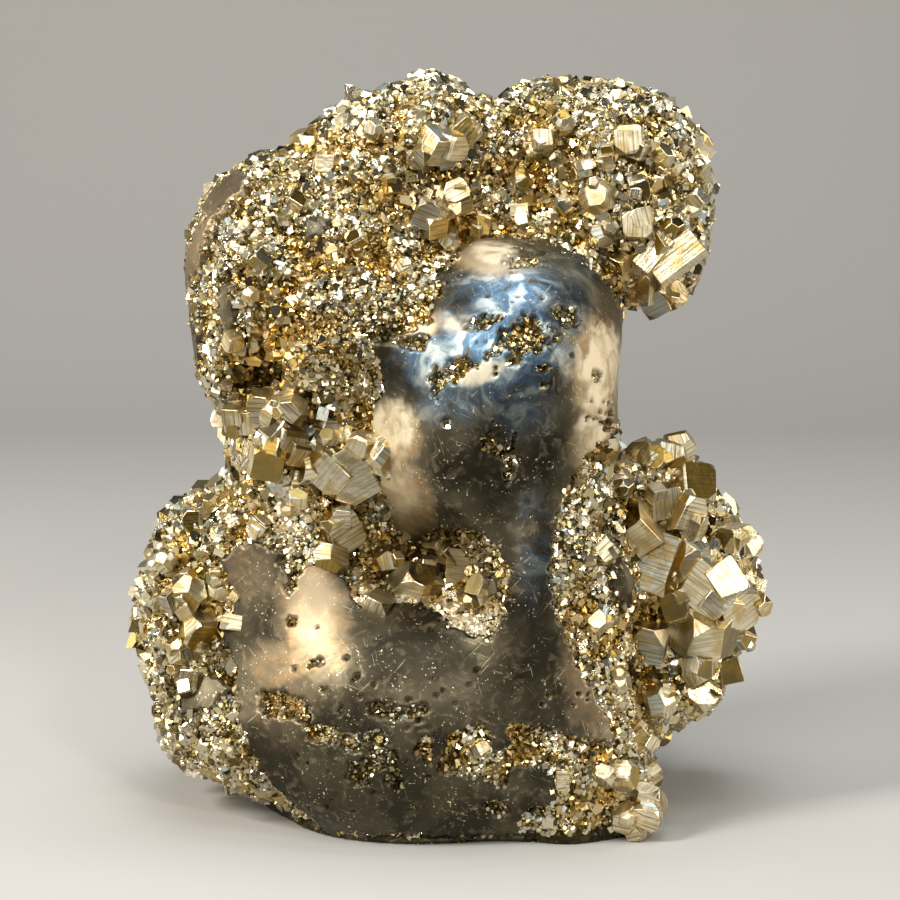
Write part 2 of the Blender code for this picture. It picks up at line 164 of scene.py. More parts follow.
def addObject(name, mesh):
    made = bpy.data.objects.new(name, mesh)
    bpy.context.scene.collection.objects.link(made)
    return made


def settle(item, name):  # the object's mesh with its modifiers applied; the object is cleared away
    graph = bpy.context.evaluated_depsgraph_get()
    mesh = bpy.data.meshes.new_from_object(item.evaluated_get(graph), depsgraph=graph)
    mesh.name = name
    bpy.data.objects.remove(item)
    return mesh


def ellipsoids(name, shapes, fineness):
    bm = bmesh.new()
    for centre, halves, tilt in shapes.values():
        turn = Matrix.Rotation(radians(-tilt), 4, "Y")
        place = Matrix.Translation(centre) @ turn @ Matrix.Diagonal((*halves, 1.0))
        bmesh.ops.create_icosphere(bm, subdivisions=fineness, radius=1.0, matrix=place)
    mesh = bpy.data.meshes.new(name)
    bm.to_mesh(mesh)
    bm.free()
    return mesh


def addRemesh(item, voxel, smoothing):
    remesh = item.modifiers.new("melt", "REMESH")
    remesh.mode = "VOXEL"
    remesh.voxel_size = voxel
    if smoothing:
        smooth = item.modifiers.new("soften", "SMOOTH")
        smooth.factor = 0.5
        smooth.iterations = smoothing


def meshPoints(mesh):
    points = np.empty(len(mesh.vertices) * 3)
    mesh.vertices.foreach_get("co", points)
    return points.reshape(-1, 3)


def meshNormals(mesh):
    normals = np.empty(len(mesh.vertices) * 3)
    mesh.vertices.foreach_get("normal", normals)
    return normals.reshape(-1, 3)


def smoothStep(low, high, value):
    share = np.clip((value - low) / (high - low), 0.0, 1.0)
    return share * share * (3.0 - 2.0 * share)


def grind(mesh):  # presses what stands out past each ground flat back onto it
    points = meshPoints(mesh)
    for centre, facing, reach in massForm["flats"].values():
        facing = np.array(facing) / np.linalg.norm(facing)
        offset = points - np.array(centre)
        proud = offset @ facing
        aside = np.linalg.norm(offset - np.outer(proud, facing), axis=1)
        share = smoothStep(0.0, 1.0, (1.0 - aside / reach) * massForm["flatEdge"])
        points -= np.outer(np.clip(proud, 0.0, None) * share, facing)
    mesh.vertices.foreach_set("co", points.ravel())
    mesh.update()


def massMesh():
    lobes = addObject("lobes", ellipsoids("lobes", massForm["lobes"], 4))
    addRemesh(lobes, massForm["voxel"], 0)
    hollows = addObject("hollows", ellipsoids("hollows", massForm["hollows"], 3))
    cut = lobes.modifiers.new("cut", "BOOLEAN")
    cut.operation = "DIFFERENCE"
    cut.solver = "EXACT"
    cut.use_self = True
    cut.object = hollows
    addRemesh(lobes, massForm["voxel"], massForm["smoothing"])
    mesh = settle(lobes, "mass")
    bpy.data.objects.remove(hollows)
    grind(mesh)
    return mesh


mass = massMesh()
print("mass melted:", len(mass.vertices), "points")

# Where the mass is polished, as seen from the front: x and height on the plane through the middle
polish = {
    "outline": [
        (2.6, 73.7), (6.5, 74.5), (12.4, 74.0), (16.9, 71.8), (20.2, 68.5), (22.4, 65.2), (23.6, 61.4),
        (23.4, 56.2), (22.9, 51.6), (21.1, 47.7), (18.2, 45.8), (16.6, 43.8), (15.3, 41.2), (13.8, 37.3),
        (13.3, 32.1), (13.4, 26.9), (15.3, 21.7), (16.9, 17.8), (19.5, 13.9), (22.4, 9.3), (20.8, 7.9),
        (15.6, 9.2), (10.4, 10.6), (3.9, 10.0), (-0.5, 9.2), (-1.3, 4.8), (5.2, 3.5), (9.1, 1.6), (9.1, -4.0),
        (-15.6, -4.0), (-19.5, -0.5), (-24.1, 3.5), (-26.7, 8.7), (-28.0, 13.9), (-28.3, 19.1), (-29.9, 22.4),
        (-27.9, 27.0), (-30.2, 32.0), (-27.6, 34.4), (-22.4, 33.6), (-21.0, 27.5), (-19.5, 30.8),
        (-15.6, 32.1), (-13.0, 28.2), (-11.0, 25.9), (-9.1, 27.1), (-3.9, 26.9), (0.6, 23.7), (5.2, 21.7),
        (7.2, 25.6), (7.5, 30.8), (5.9, 34.1), (2.6, 36.0), (-0.7, 36.3), (-4.6, 34.1), (-7.2, 36.0),
        (-8.7, 39.9), (-10.7, 47.7), (-9.8, 51.6), (-8.5, 54.2), (-9.8, 59.4), (-6.5, 61.4), (-2.6, 63.3),
        (-1.3, 67.2), (-3.3, 67.9), (0.0, 70.5),
    ],
    # Islands of polish within the druse: x, height, half width, half height, tilt
    "islands": [
        (10.4, 2.2, 3.4, 3.6, 0), (6.2, 8.9, 1.8, 1.9, 30), (-32.4, 14.8, 3.4, 2.4, 25),
        (-17.5, 75.4, 1.8, 1.5, 0), (22.8, 29.0, 1.4, 3.2, 5), (-29.2, 64.0, 1.1, 4.6, 8),
        (-33.6, 58.5, 0.9, 6.0, 4), (-33.4, 72.0, 1.1, 6.0, -16), (-29.4, 80.0, 1.5, 4.0, -44),
    ],
    # Pits: x, height, half width, half height, tilt, depth
    "pits": [
        (9.6, 71.4, 2.1, 1.3, 10, 1.0), (4.3, 63.2, 2.4, 0.8, 20, 1.3), (9.6, 60.6, 3.6, 2.3, 22, 1.1),
        (15.4, 64.1, 2.0, 1.1, -12, 1.5), (0.3, 56.4, 2.7, 1.0, 38, 1.3), (-1.7, 55.2, 0.9, 1.9, 0, 1.3),
        (1.2, 57.6, 1.6, 0.8, -10, 1.2), (7.8, 44.2, 0.9, 3.2, -10, 1.3), (5.6, 46.6, 1.7, 0.7, -35, 1.0),
        (20.4, 49.6, 0.9, 0.9, 0, 1.2), (-0.5, 49.9, 0.6, 0.5, 0, 0.8), (11.9, 57.0, 0.7, 0.5, 0, 0.8),
        (-22.4, 13.2, 2.2, 1.7, 0, 1.6), (-19.9, 12.6, 2.2, 1.1, -12, 1.4), (-16.4, 9.8, 2.4, 1.3, -12, 1.4),
        (-13.4, 8.4, 1.9, 1.3, -35, 1.3), (-10.2, 5.6, 2.3, 1.5, 40, 1.5), (-9.6, 8.6, 1.3, 1.8, 0, 1.3),
        (-12.0, 4.4, 1.5, 1.5, 0, 1.3), (-7.4, 4.6, 0.9, 2.2, 10, 1.2), (-9.4, 12.4, 1.7, 0.9, -10, 1.2),
        (-5.4, 12.4, 2.4, 0.8, 5, 1.0), (-3.2, 7.6, 1.1, 1.7, 20, 1.2), (-17.4, 18.7, 1.0, 0.4, 20, 0.8),
        (-20.6, 24.1, 0.5, 0.4, 0, 0.6), (12.2, 54.9, 0.6, 0.5, 0, 0.7), (3.0, 9.4, 2.2, 1.0, 0, 1.2),
        (1.6, 5.6, 1.4, 1.0, 30, 1.4), (12.0, -1.0, 1.9, 1.0, 0, 2.0), (6.0, -0.4, 1.6, 0.8, -20, 1.4),
        (19.2, 56.0, 0.5, 0.9, 0, 0.8), (-2.8, 67.4, 1.6, 0.9, 30, 1.0), (-5.0, 60.4, 1.9, 0.8, 10, 1.1),
    ],
    "edgeWander": 0.9,
    "islandWander": 0.7,
    "stepDown": 1.35,
    "clumps": 1.7,
    "leastStep": 0.7,
}

# Tints, tarnish and painted light and shade on the front: x, height, half width, half height, tilt, strength
tintsAndPaintedLight = {
    # blue tarnish; where the mottle is light it turns to painted blue-white highlights
    "cool": [
        (6.5, 59.8, 10.0, 7.5, 20, 1.0), (8.0, 67.0, 7.5, 4.2, 0, 0.9), (-2.6, 58.0, 4.5, 4.0, 0, 0.8),
        (15.5, 68.5, 4.5, 4.5, -30, 0.4), (0.0, 52.0, 5.0, 2.6, 0, 0.5), (9.0, 52.0, 5.0, 4.0, 0, 0.35),
        (11.0, 34.0, 2.5, 8.0, 0, 0.3),
    ],
    # warm tarnish and painted highlights
    "warmTarnishAndHighlight": [
        (-8.1, 47.9, 3.9, 4.8, -8, 1.0), (-6.4, 39.9, 4.0, 5.0, 10, 0.75), (19.8, 55.5, 3.6, 8.0, 0, 0.8),
        (18.6, 46.6, 3.0, 4.0, 0, 0.8), (-17.6, 25.6, 4.6, 8.5, 8, 0.6), (-22.5, 18.5, 4.0, 3.2, 0, 0.4),
        (-26.5, 30.8, 4.2, 4.8, 0, 0.2), (4.0, 71.6, 5.5, 2.6, -15, 0.9), (-22.0, 14.0, 5.0, 5.5, 0, 0.2),
        (18.2, 18.5, 3.6, 9.0, 0, 0.55), (-4.5, 62.5, 3.5, 2.0, 20, 0.6), (-30.0, 78.0, 5.0, 12.0, -30, 0.5),
    ],
    # painted shade in the hollows, grooves, creases and the cave, on the polish and on the crystals
    "paintedShade": [
        (11.6, 26.0, 1.7, 15.0, -4, 1.0), (5.0, 40.0, 4.5, 3.0, 20, 0.8), (-10.0, 16.0, 5.0, 8.0, 0, 0.5),
        (-2.5, 18.5, 8.0, 5.5, 0, 0.9), (-8.0, 2.0, 12.0, 5.0, 0, 0.7), (6.0, 46.0, 5.0, 5.0, 0, 0.5),
        (-24.0, 4.0, 4.0, 5.0, 30, 0.6), (-8.2, 30.0, 2.2, 4.0, 0, 1.0), (-1.0, 35.6, 6.0, 1.5, 5, 1.0),
        (4.6, 29.0, 1.5, 2.6, 0, 0.8), (-26.0, 55.5, 4.0, 3.0, 10, 0.9), (-17.0, 51.0, 2.5, 3.0, 0, 0.7),
        (-8.0, 62.0, 2.6, 1.4, 0, 0.8), (20.6, 72.0, 1.6, 4.0, -25, 0.8), (-4.0, 81.6, 4.5, 1.3, -8, 0.7),
        (13.0, 84.8, 3.0, 1.2, 0, 0.6), (22.0, 35.5, 1.5, 5.0, 0, 0.7), (30.0, 20.5, 4.5, 1.6, 0, 0.8),
        (-33.0, 36.0, 2.0, 4.0, 0, 0.5), (-35.5, 12.0, 4.0, 6.0, 20, 0.6), (-37.5, 24.0, 2.5, 7.0, 0, 0.5),
        (-30.5, 19.5, 2.0, 4.0, 0, 0.6), (-30.0, 52.0, 2.0, 6.0, 0, 0.6), (27.5, 62.5, 4.0, 2.0, 0, 0.8),
        (-1.5, 32.5, 7.5, 3.4, 0, 0.8), (-13.0, 33.0, 2.2, 5.0, -10, 0.7), (31.0, 26.6, 6.0, 1.8, 25, 0.6),
        (28.0, 36.0, 2.6, 2.6, 0, 0.5), (-23.0, 48.6, 5.0, 1.2, -10, 0.6), (24.6, 17.0, 2.2, 2.2, 0, 0.6),
        (-36.5, 30.0, 3.0, 1.5, 30, 0.5),
    ],
    "chalk": [
        (0.5, 25.2, 8.4, 2.6, -14, 1.0), (-20.5, 38.0, 4.0, 4.5, 0, 0.7), (-10.5, 27.5, 3.0, 1.6, 0, 0.8),
    ],
    # amber painted shade in the valleys and hollows of the druse and the larger crystals
    "amberAndPaintedShade": [
        (-24.7, 57.0, 7.0, 5.0, 10, 1.0), (-8.0, 79.5, 7.0, 2.4, -8, 0.9), (3.0, 76.6, 5.0, 2.0, 0, 0.8),
        (8.5, 83.0, 8.0, 1.8, 5, 0.9), (21.5, 70.0, 3.0, 5.0, 0, 0.8), (26.5, 33.0, 4.5, 5.5, 0, 0.7),
        (-3.0, 34.0, 8.0, 2.4, 0, 1.0), (-9.0, 31.5, 2.5, 5.0, 0, 0.8), (25.0, 24.0, 3.0, 5.0, 0, 0.7),
        (-28.5, 29.0, 2.4, 6.0, 0, 0.5), (-5.0, 63.8, 6.0, 1.4, 15, 0.5), (30.0, 66.0, 5.0, 2.0, 0, 0.6),
    ],
    # painted cream highlights
    "paintedHighlight": [
        (6.2, 71.9, 3.4, 1.5, -10, 1.0), (4.2, 56.4, 3.2, 1.5, 25, 0.8), (-7.8, 49.4, 3.2, 3.8, -8, 1.0),
        (-7.0, 41.5, 2.4, 4.0, 10, 0.5), (1.5, 62.8, 2.6, 1.2, 10, 0.6), (19.4, 57.0, 3.0, 5.6, -8, 1.0),
        (18.8, 48.6, 2.2, 2.8, 20, 0.9), (13.0, 60.5, 2.6, 0.9, 30, 0.4),
    ],
}

# Where each share of the skin starts and is full, and how far the wander of its edge moves it
shareEdges = {
    "facing": (0.25, -0.25, 0.0),  # the turn to the back up to which the front's marks reach
    "pitted": (-0.10, -0.45, 0.0),
    "frontTurn": (0.4, 0.2, 0.0),
    "backTurn": (0.2, 0.3, 0.05),
    "grainTurn": (-0.1, -0.4, 0.0),
    "rim": (-0.15, 0.2, 0.0),  # how far inside the polish
    "rimGrain": (0.0, 0.1, 0.0),
    "back": (-0.03, 0.03, 0.03),  # the slow noise past its level
    "foot": (0.6, 0.2, 0.0),  # the height
    "pit": (1.08, 0.88, -0.75),  # how far out from an oval's middle
    "hole": (1.2, 0.7, -0.7),
    "field": (1.25, 0.75, 0.12),
    "cool": (1.35, 0.25, 0.18),
    "warmTarnishAndHighlight": (1.35, 0.35, 0.18),
    "paintedShade": (1.35, 0.25, 0.18),
    "chalk": (1.35, 0.25, 0.18),
    "amberAndPaintedShade": (1.35, 0.25, 0.18),
    "paintedHighlight": (1.2, 0.7, 0.18),
}

# The back is polished where a slow noise is high
backPolish = {"scale": 0.045, "shift": Vector((3.0, 1.0, 7.0)), "level": -0.12, "facing": 0.25}

# Small holes scattered over the polish: x, height, spread, how many
smallHoles = {
    "fields": [
        (-18.0, 11.0, 7.0, 14), (-4.0, 9.0, 9.0, 18), (20.5, 51.5, 2.6, 18), (7.0, 47.0, 4.5, 14),
        (10.0, 62.0, 7.0, 20), (-16.0, 22.0, 6.0, 6), (15.0, 14.0, 4.0, 8), (0.0, 22.0, 8.0, 8),
        (-10.0, 1.0, 9.0, 10),
    ],
    "width": (0.12, 0.42),
    "depth": (0.3, 0.8),
}

# Grain of the druse in millimetres; in the fields: x, height, half width, half height and grain
grains = {
    "front": 0.62,
    "side": 0.95,
    "back": 1.35,
    "inPits": 0.45,
    "fields": {
        "leftOfHead": (-9.5, 60.5, 9.5, 12.0, 0.48),
        "rightBand": (18.5, 27.0, 4.5, 17.0, 0.58),
        "rightBandLow": (18.5, 8.0, 5.0, 8.0, 0.64),
        "belt": (6.5, 6.0, 11.0, 5.0, 0.5),
        "shoulderFront": (-21.0, 38.5, 5.0, 5.5, 0.42),
        "leftLobe": (-34.0, 22.0, 6.0, 14.0, 0.72),
        "caveEdge": (-1.0, 24.0, 8.0, 3.0, 0.4),
        "rightCluster": (33.0, 30.0, 8.0, 15.0, 1.05),
        "clusterSugar": (32.0, 40.0, 3.5, 3.5, 0.55),
        "channel": (-21.0, 47.0, 8.0, 8.0, 0.95),
        "hollow": (-25.0, 56.0, 5.0, 4.0, 1.0),
        "archRight": (24.0, 74.0, 9.0, 9.0, 0.8),
    },
}


def insideBy(places, outline):  # how far inside an outline each place lies, negative outside
    corners = np.array(outline)
    nearest = np.full(len(places), 1e9)
    within = np.zeros(len(places), bool)
    for start, end in zip(corners, np.roll(corners, -1, axis=0)):
        run = end - start
        along = np.clip(((places - start) @ run) / (run @ run), 0.0, 1.0)
        nearest = np.minimum(nearest, np.linalg.norm(places - start - along[:, None] * run, axis=1))
        crosses = (start[1] > places[:, 1]) != (end[1] > places[:, 1])
        rise = run[1] if run[1] else 1e-9
        within ^= crosses & (places[:, 0] < run[0] * (places[:, 1] - start[1]) / rise + start[0])
    return np.where(within, nearest, -nearest)


def ovalReach(places, oval):  # 0 at an oval's middle, 1 at its rim
    x, height, halfWidth, halfHeight, tilt = oval[:5]
    turn = radians(tilt)
    across, along = places[:, 0] - x, places[:, 1] - height
    u = (across * cos(turn) + along * sin(turn)) / halfWidth
    v = (along * cos(turn) - across * sin(turn)) / halfHeight
    return np.sqrt(u * u + v * v)


def noiseAt(points, size, shift):  # smooth noise from -1 to 1, of a feature size in millimetres
    shift = Vector(shift)
    return np.array([noise.noise(Vector(point) / size + shift) for point in points])


def insidePolish(places, wander):  # how far inside the polish of the front each place lies
    inside = insideBy(places, polish["outline"]) + wander * polish["edgeWander"]
    for island in polish["islands"]:
        reach = ovalReach(places, island)
        inside = np.maximum(inside, (1.0 - reach) * min(island[2:4]) + wander * polish["islandWander"])
    return inside


def backNoise(points):  # the slow noise that parts polish and druse on the back
    scale, shift = backPolish["scale"], backPolish["shift"]
    return np.array([noise.noise(Vector(point) * scale + shift) for point in points])


def edgeShare(name, value, wander=0.0):
    start, full, moved = shareEdges[name]
    return smoothStep(start, full, value + moved * wander)


def tintAndPaintedLightShares(places, wander):  # how strong each tint and each painted light or shade is at each place
    shares = {}
    for name, ovals in tintsAndPaintedLight.items():
        strengths = [edgeShare(name, ovalReach(places, oval), wander) * oval[5] for oval in ovals]
        shares[name] = np.max(strengths, axis=0)
    return shares


def surfaceMasks(points, normals):  # what each point of the skin is: polish, pit, druse and its grain
    places = frontPlaces(points)
    turn = normals[:, 1]
    wander = noiseAt(points, 1.4, (5.0, 0.0, 0.0)) + 0.6 * noiseAt(points, 0.6, (0.0, 7.0, 0.0))
    front = edgeShare("rim", insidePolish(places, wander)) * edgeShare("frontTurn", turn)
    back = edgeShare("back", backNoise(points) - backPolish["level"], wander)
    back = back * edgeShare("backTurn", turn, wander)
    polished = np.maximum(np.maximum(front, back), edgeShare("foot", points[:, 2]))
    frontal = edgeShare("pitted", turn)
    pitted = np.zeros(len(points))
    depth = np.zeros(len(points))
    for pit in polish["pits"]:
        share = edgeShare("pit", ovalReach(places, pit), wander) * frontal
        pitted = np.maximum(pitted, share)
        depth = np.maximum(depth, share * pit[5])
    rubble = pitted.copy()
    rng = np.random.default_rng(shapeSeed + 3)
    for x, height, spread, count in smallHoles["fields"]:
        for _ in range(count):
            width = rng.uniform(*smallHoles["width"])
            middle = rng.normal((x, height), spread / 2.0)
            oval = (*middle, width, width * rng.uniform(0.4, 1.1), rng.uniform(-90.0, 90.0))
            near = np.flatnonzero(np.abs(places - middle).max(axis=1) < 2.0)
            share = edgeShare("hole", ovalReach(places[near], oval), wander[near]) * frontal[near]
            pitted[near] = np.maximum(pitted[near], share)
            depth[near] = np.maximum(depth[near], share * rng.uniform(*smallHoles["depth"]))
    grain = np.where(turn < 0.1, grains["side"], grains["back"])
    grain = grain + (grains["front"] - grain) * edgeShare("grainTurn", turn)
    grain = grain * (1.0 + 0.25 * noiseAt(points, 5.0, (2.0, 9.0, 4.0)))
    for x, height, halfWidth, halfHeight, size in grains["fields"].values():
        reach = ovalReach(places, (x, height, halfWidth, halfHeight, 0))
        share = edgeShare("field", reach, wander) * (turn < 0.3)
        grain = grain + (size * (1.0 + 0.2 * wander) - grain) * share
    grain = grain + (grains["inPits"] - grain) * edgeShare("rimGrain", front)
    seeded = np.where(rubble * polished > 0.5, 0.8, 1.0 - polished)
    masks = {
        **{name: share * edgeShare("facing", turn) for name, share in tintAndPaintedLightShares(places, wander).items()},
        "polished": polished * (1.0 - pitted),
        "pitted": pitted * polished,
        "seeded": np.where(points[:, 2] < grain * 1.3, 0.0, seeded),
        "grain": np.clip(grain, 0.4, 3.0),
        "front": (turn < 0.15).astype(float),
    }
    return masks, depth * polished, 1.0 - polished, wander


def fair(bm, verts, times):
    for _ in range(times):
        bmesh.ops.smooth_vert(bm, verts=verts, factor=0.5, use_axis_x=True, use_axis_y=True, use_axis_z=True)


def refinePolish(mesh):  # polish made fair, and on the front in finer faces than the rest
    points, normals = meshPoints(mesh), meshNormals(mesh)
    margin, turnedFrom, lowest = massForm["fine"]
    fine = insidePolish(frontPlaces(points), 0.0) > margin
    fine &= (normals[:, 1] < turnedFrom) & (points[:, 2] > lowest)
    bm = bmesh.new()
    bm.from_mesh(mesh)
    back = (backNoise(points) > backPolish["level"] - 0.03) & (normals[:, 1] > backPolish["facing"] - 0.1)
    faired = [vert for vert in bm.verts if fine[vert.index] or back[vert.index]]
    fair(bm, faired, massForm["frontFairing"])
    edges = [edge for edge in bm.edges if all(fine[vert.index] for vert in edge.verts)]
    old = set(bm.verts)
    bmesh.ops.subdivide_edges(bm, edges=edges, cuts=massForm["frontCuts"], use_grid_fill=True)
    added = [vert for vert in bm.verts if vert not in old]
    fair(bm, added, massForm["frontSmoothing"])
    bmesh.ops.triangulate(bm, faces=[face for face in bm.faces if len(face.verts) > 4])
    bm.to_mesh(mesh)
    bm.free()
    mesh.update()


def dressMass():
    coarse = addObject("coarse", mass.copy())
    subdivide = coarse.modifiers.new("subdivide", "SUBSURF")
    subdivide.levels = 2
    subdivide.render_levels = 2
    addRemesh(coarse, massForm["skinVoxel"], 3)
    mesh = settle(coarse, "groundMass")
    refinePolish(mesh)
    points, normals = meshPoints(mesh), meshNormals(mesh)
    masks, depth, bed, wander = surfaceMasks(points, normals)
    clumps = noiseAt(points, 5.5, (1.0, 2.0, 3.0)) + 0.5 * noiseAt(points, 2.3, (4.0, 1.0, 0.0))
    sink = np.maximum(polish["stepDown"] - polish["clumps"] * clumps, polish["leastStep"])
    sink = bed * sink + depth + masks["pitted"] * 0.2 * wander
    points = points - normals * sink[:, None]
    points[:, 2] = np.maximum(points[:, 2], 0.0)
    mesh.vertices.foreach_set("co", points.ravel())
    mesh.shade_smooth()
    masks["clumps"] = clumps
    for name, values in masks.items():
        mesh.attributes.new(name, "FLOAT", "POINT").data.foreach_set("value", values.astype(np.float32))
    mesh.transform(toFrame)
    mesh.update()
    return mesh


groundMass = addObject("groundMass", dressMass())
groundMass.data.calc_loop_triangles()
print("mass dressed:", len(groundMass.data.loop_triangles), "triangles")


class Wire:  # an output of a node; arithmetic on it adds Math nodes
    def __init__(self, graph, socket):
        self.graph = graph
        self.socket = socket

    def maths(self, operation, *values):
        return self.graph.node("ShaderNodeMath", {"operation": operation}, dict(enumerate(values)))

    def fraction(self):
        return self.maths("FRACT", self)

    def __add__(self, other):
        return self.maths("ADD", self, other)

    def __sub__(self, other):
        return self.maths("SUBTRACT", self, other)

    def __rsub__(self, other):
        return self.maths("SUBTRACT", other, self)

    def __mul__(self, other):
        return self.maths("MULTIPLY", self, other)

    def __truediv__(self, other):
        return self.maths("DIVIDE", self, other)

    def __rtruediv__(self, other):
        return self.maths("DIVIDE", other, self)

    __radd__ = __add__
    __rmul__ = __mul__


class Graph:  # a node tree that is written one value at a time
    def __init__(self, tree):
        self.tree = tree

    def set(self, socket, value):
        if isinstance(value, Wire):
            self.tree.links.new(value.socket, socket)
        else:
            socket.default_value = value

    def node(self, kind, settings, values, output=0):
        made = self.tree.nodes.new(kind)
        for name, value in settings.items():
            setattr(made, name, value)
        for name, value in values.items():
            self.set(made.inputs[name], value)
        return Wire(self, made.outputs[output])

    def attribute(self, name):
        return self.node("ShaderNodeAttribute", {"attribute_name": name}, {}, "Fac")

    def step(self, low, high, value):
        limits = {"Value": value, "From Min": low, "From Max": high}
        return self.node("ShaderNodeMapRange", {"interpolation_type": "SMOOTHSTEP"}, limits)

    def mixColour(self, share, first, second):
        return self.node("ShaderNodeMix", {"data_type": "RGBA"}, {0: share, 6: first, 7: second}, 2)

    def mixValue(self, share, first, second):
        return self.node("ShaderNodeMix", {"data_type": "FLOAT"}, {0: share, 2: first, 3: second}, 0)

    def coated(self, colour, coats):  # a colour under further ones, each with its share
        for share, coat in coats:
            colour = self.mixColour(share, colour, coat)
        return colour

    def vector(self, operation, first, second):
        return self.node("ShaderNodeVectorMath", {"operation": operation}, {0: first, 1: second})

    def noise(self, place, size, detail=2.0):
        values = {"Vector": place, "Scale": 1.0 / size, "Detail": detail}
        return self.node("ShaderNodeTexNoise", {}, values, "Fac")


def startMaterial(name):
    material = bpy.data.materials.new(name)
    material.use_nodes = True
    graph = Graph(material.node_tree)
    place = graph.node("ShaderNodeTexCoord", {}, {}, "Object")
    return material, graph, graph.vector("MULTIPLY", place, (1000.0, 1000.0, 1000.0))


def finishMaterial(graph, colour, roughness, relief, depth):
    shader = graph.tree.nodes["Principled BSDF"]
    graph.set(shader.inputs["Metallic"], 1.0)
    graph.set(shader.inputs["Base Color"], colour)
    graph.set(shader.inputs["Roughness"], roughness)
    bump = graph.node("ShaderNodeBump", {}, {"Height": relief, "Distance": depth * toMetres, "Strength": 1.0})
    graph.set(shader.inputs["Normal"], bump)


crystalLook = {
    "brass": (0.84, 0.76, 0.55, 1.0),
    "druse": (0.76, 0.69, 0.51, 1.0),
    "gold": (0.62, 0.52, 0.28, 1.0),
    "olive": (0.26, 0.20, 0.08, 1.0),
    # amber: the colour of some faces and of stains, and the painted shade of valleys
    "amberAndPaintedShade": (0.52, 0.34, 0.07, 1.0),
    "shade": (0.12, 0.095, 0.045, 1.0),
    "steel": (0.56, 0.62, 0.60, 1.0),
    "chalk": (0.86, 0.79, 0.64, 1.0),
    # Tones between which a small crystal or a face of a larger one turns to another colour
    "smallTones": {"olive": (0.20, 0.12), "steel": (0.93, 0.96)},
    "faceTones": {"amberAndPaintedShade": (0.26, 0.19), "olive": (0.14, 0.08), "steel": (0.91, 0.94)},
    "roughness": (0.10, 0.38),
    "chalkRoughness": 0.5,
    "faceRoughness": 0.12,  # added on the larger crystals
    "grit": (0.3, 0.03),  # size and depth
    "stripes": (0.30, 0.05),
    "stain": 2.2,
    "hillock": 1.6,
}


def turnedTones(graph, kind, tone):
    return [(graph.step(*tones, tone), crystalLook[name]) for name, tones in crystalLook[kind].items()]


def crystalRoughness(graph, tone):
    low, high = crystalLook["roughness"]
    return (tone * 7.0).fraction() * (high - low) + low


def druseMaterial():
    material, graph, place = startMaterial("druse")
    tone = graph.attribute("tone")
    chalk = graph.attribute("chalk")
    brass = graph.mixColour(graph.step(0.28, 0.50, tone), crystalLook["gold"], crystalLook["druse"])
    colour = graph.coated(brass, turnedTones(graph, "smallTones", tone) + [
        # amber painted shade where the bed sinks deepest and in the amber ovals, near black painted shade in
        # the dark ovals
        (graph.step(0.10, -0.45, graph.attribute("clumps")) * 0.65, crystalLook["amberAndPaintedShade"]),
        (graph.attribute("amberAndPaintedShade") * 0.7, crystalLook["amberAndPaintedShade"]),
        (graph.attribute("paintedShade") * 0.85, crystalLook["shade"]),
        (chalk * 0.7, crystalLook["chalk"]),
    ])
    roughness = graph.mixValue(chalk, crystalRoughness(graph, tone), crystalLook["chalkRoughness"])
    size, depth = crystalLook["grit"]
    finishMaterial(graph, colour, roughness, graph.noise(place, size), depth)
    return material


def crystalMaterial():
    material, graph, place = startMaterial("crystals")
    tone = graph.attribute("tone")
    across = graph.node("ShaderNodeUVMap", {"uv_map": "stripes"}, {})
    size, depth = crystalLook["stripes"]
    stripes = graph.noise(graph.vector("MULTIPLY", across, (1.0, 0.03, 0.0)), size, 5.0)
    strength = 0.45 + graph.step(0.1, 0.7, (tone * 13.0).fraction()) * 0.55
    stain = graph.step(0.46, 0.66, graph.noise(place, crystalLook["stain"], 5.0))
    colour = graph.coated(crystalLook["brass"], turnedTones(graph, "faceTones", tone) + [
        (graph.step(0.45, 0.60, stripes) * strength * 0.85, crystalLook["olive"]),
        (stain * 0.6, crystalLook["amberAndPaintedShade"]),
        # amber and near black painted shade in the valleys, hollows and cave of the amber and dark ovals
        (graph.attribute("amberAndPaintedShade") * 0.6, crystalLook["amberAndPaintedShade"]),
        (graph.attribute("paintedShade") * 0.8, crystalLook["shade"]),
    ])
    relief = stripes * strength + graph.noise(place, crystalLook["hillock"], 3.0) * 2.0
    finishMaterial(graph, colour, crystalLook["faceRoughness"] + crystalRoughness(graph, tone), relief, depth)
    return material


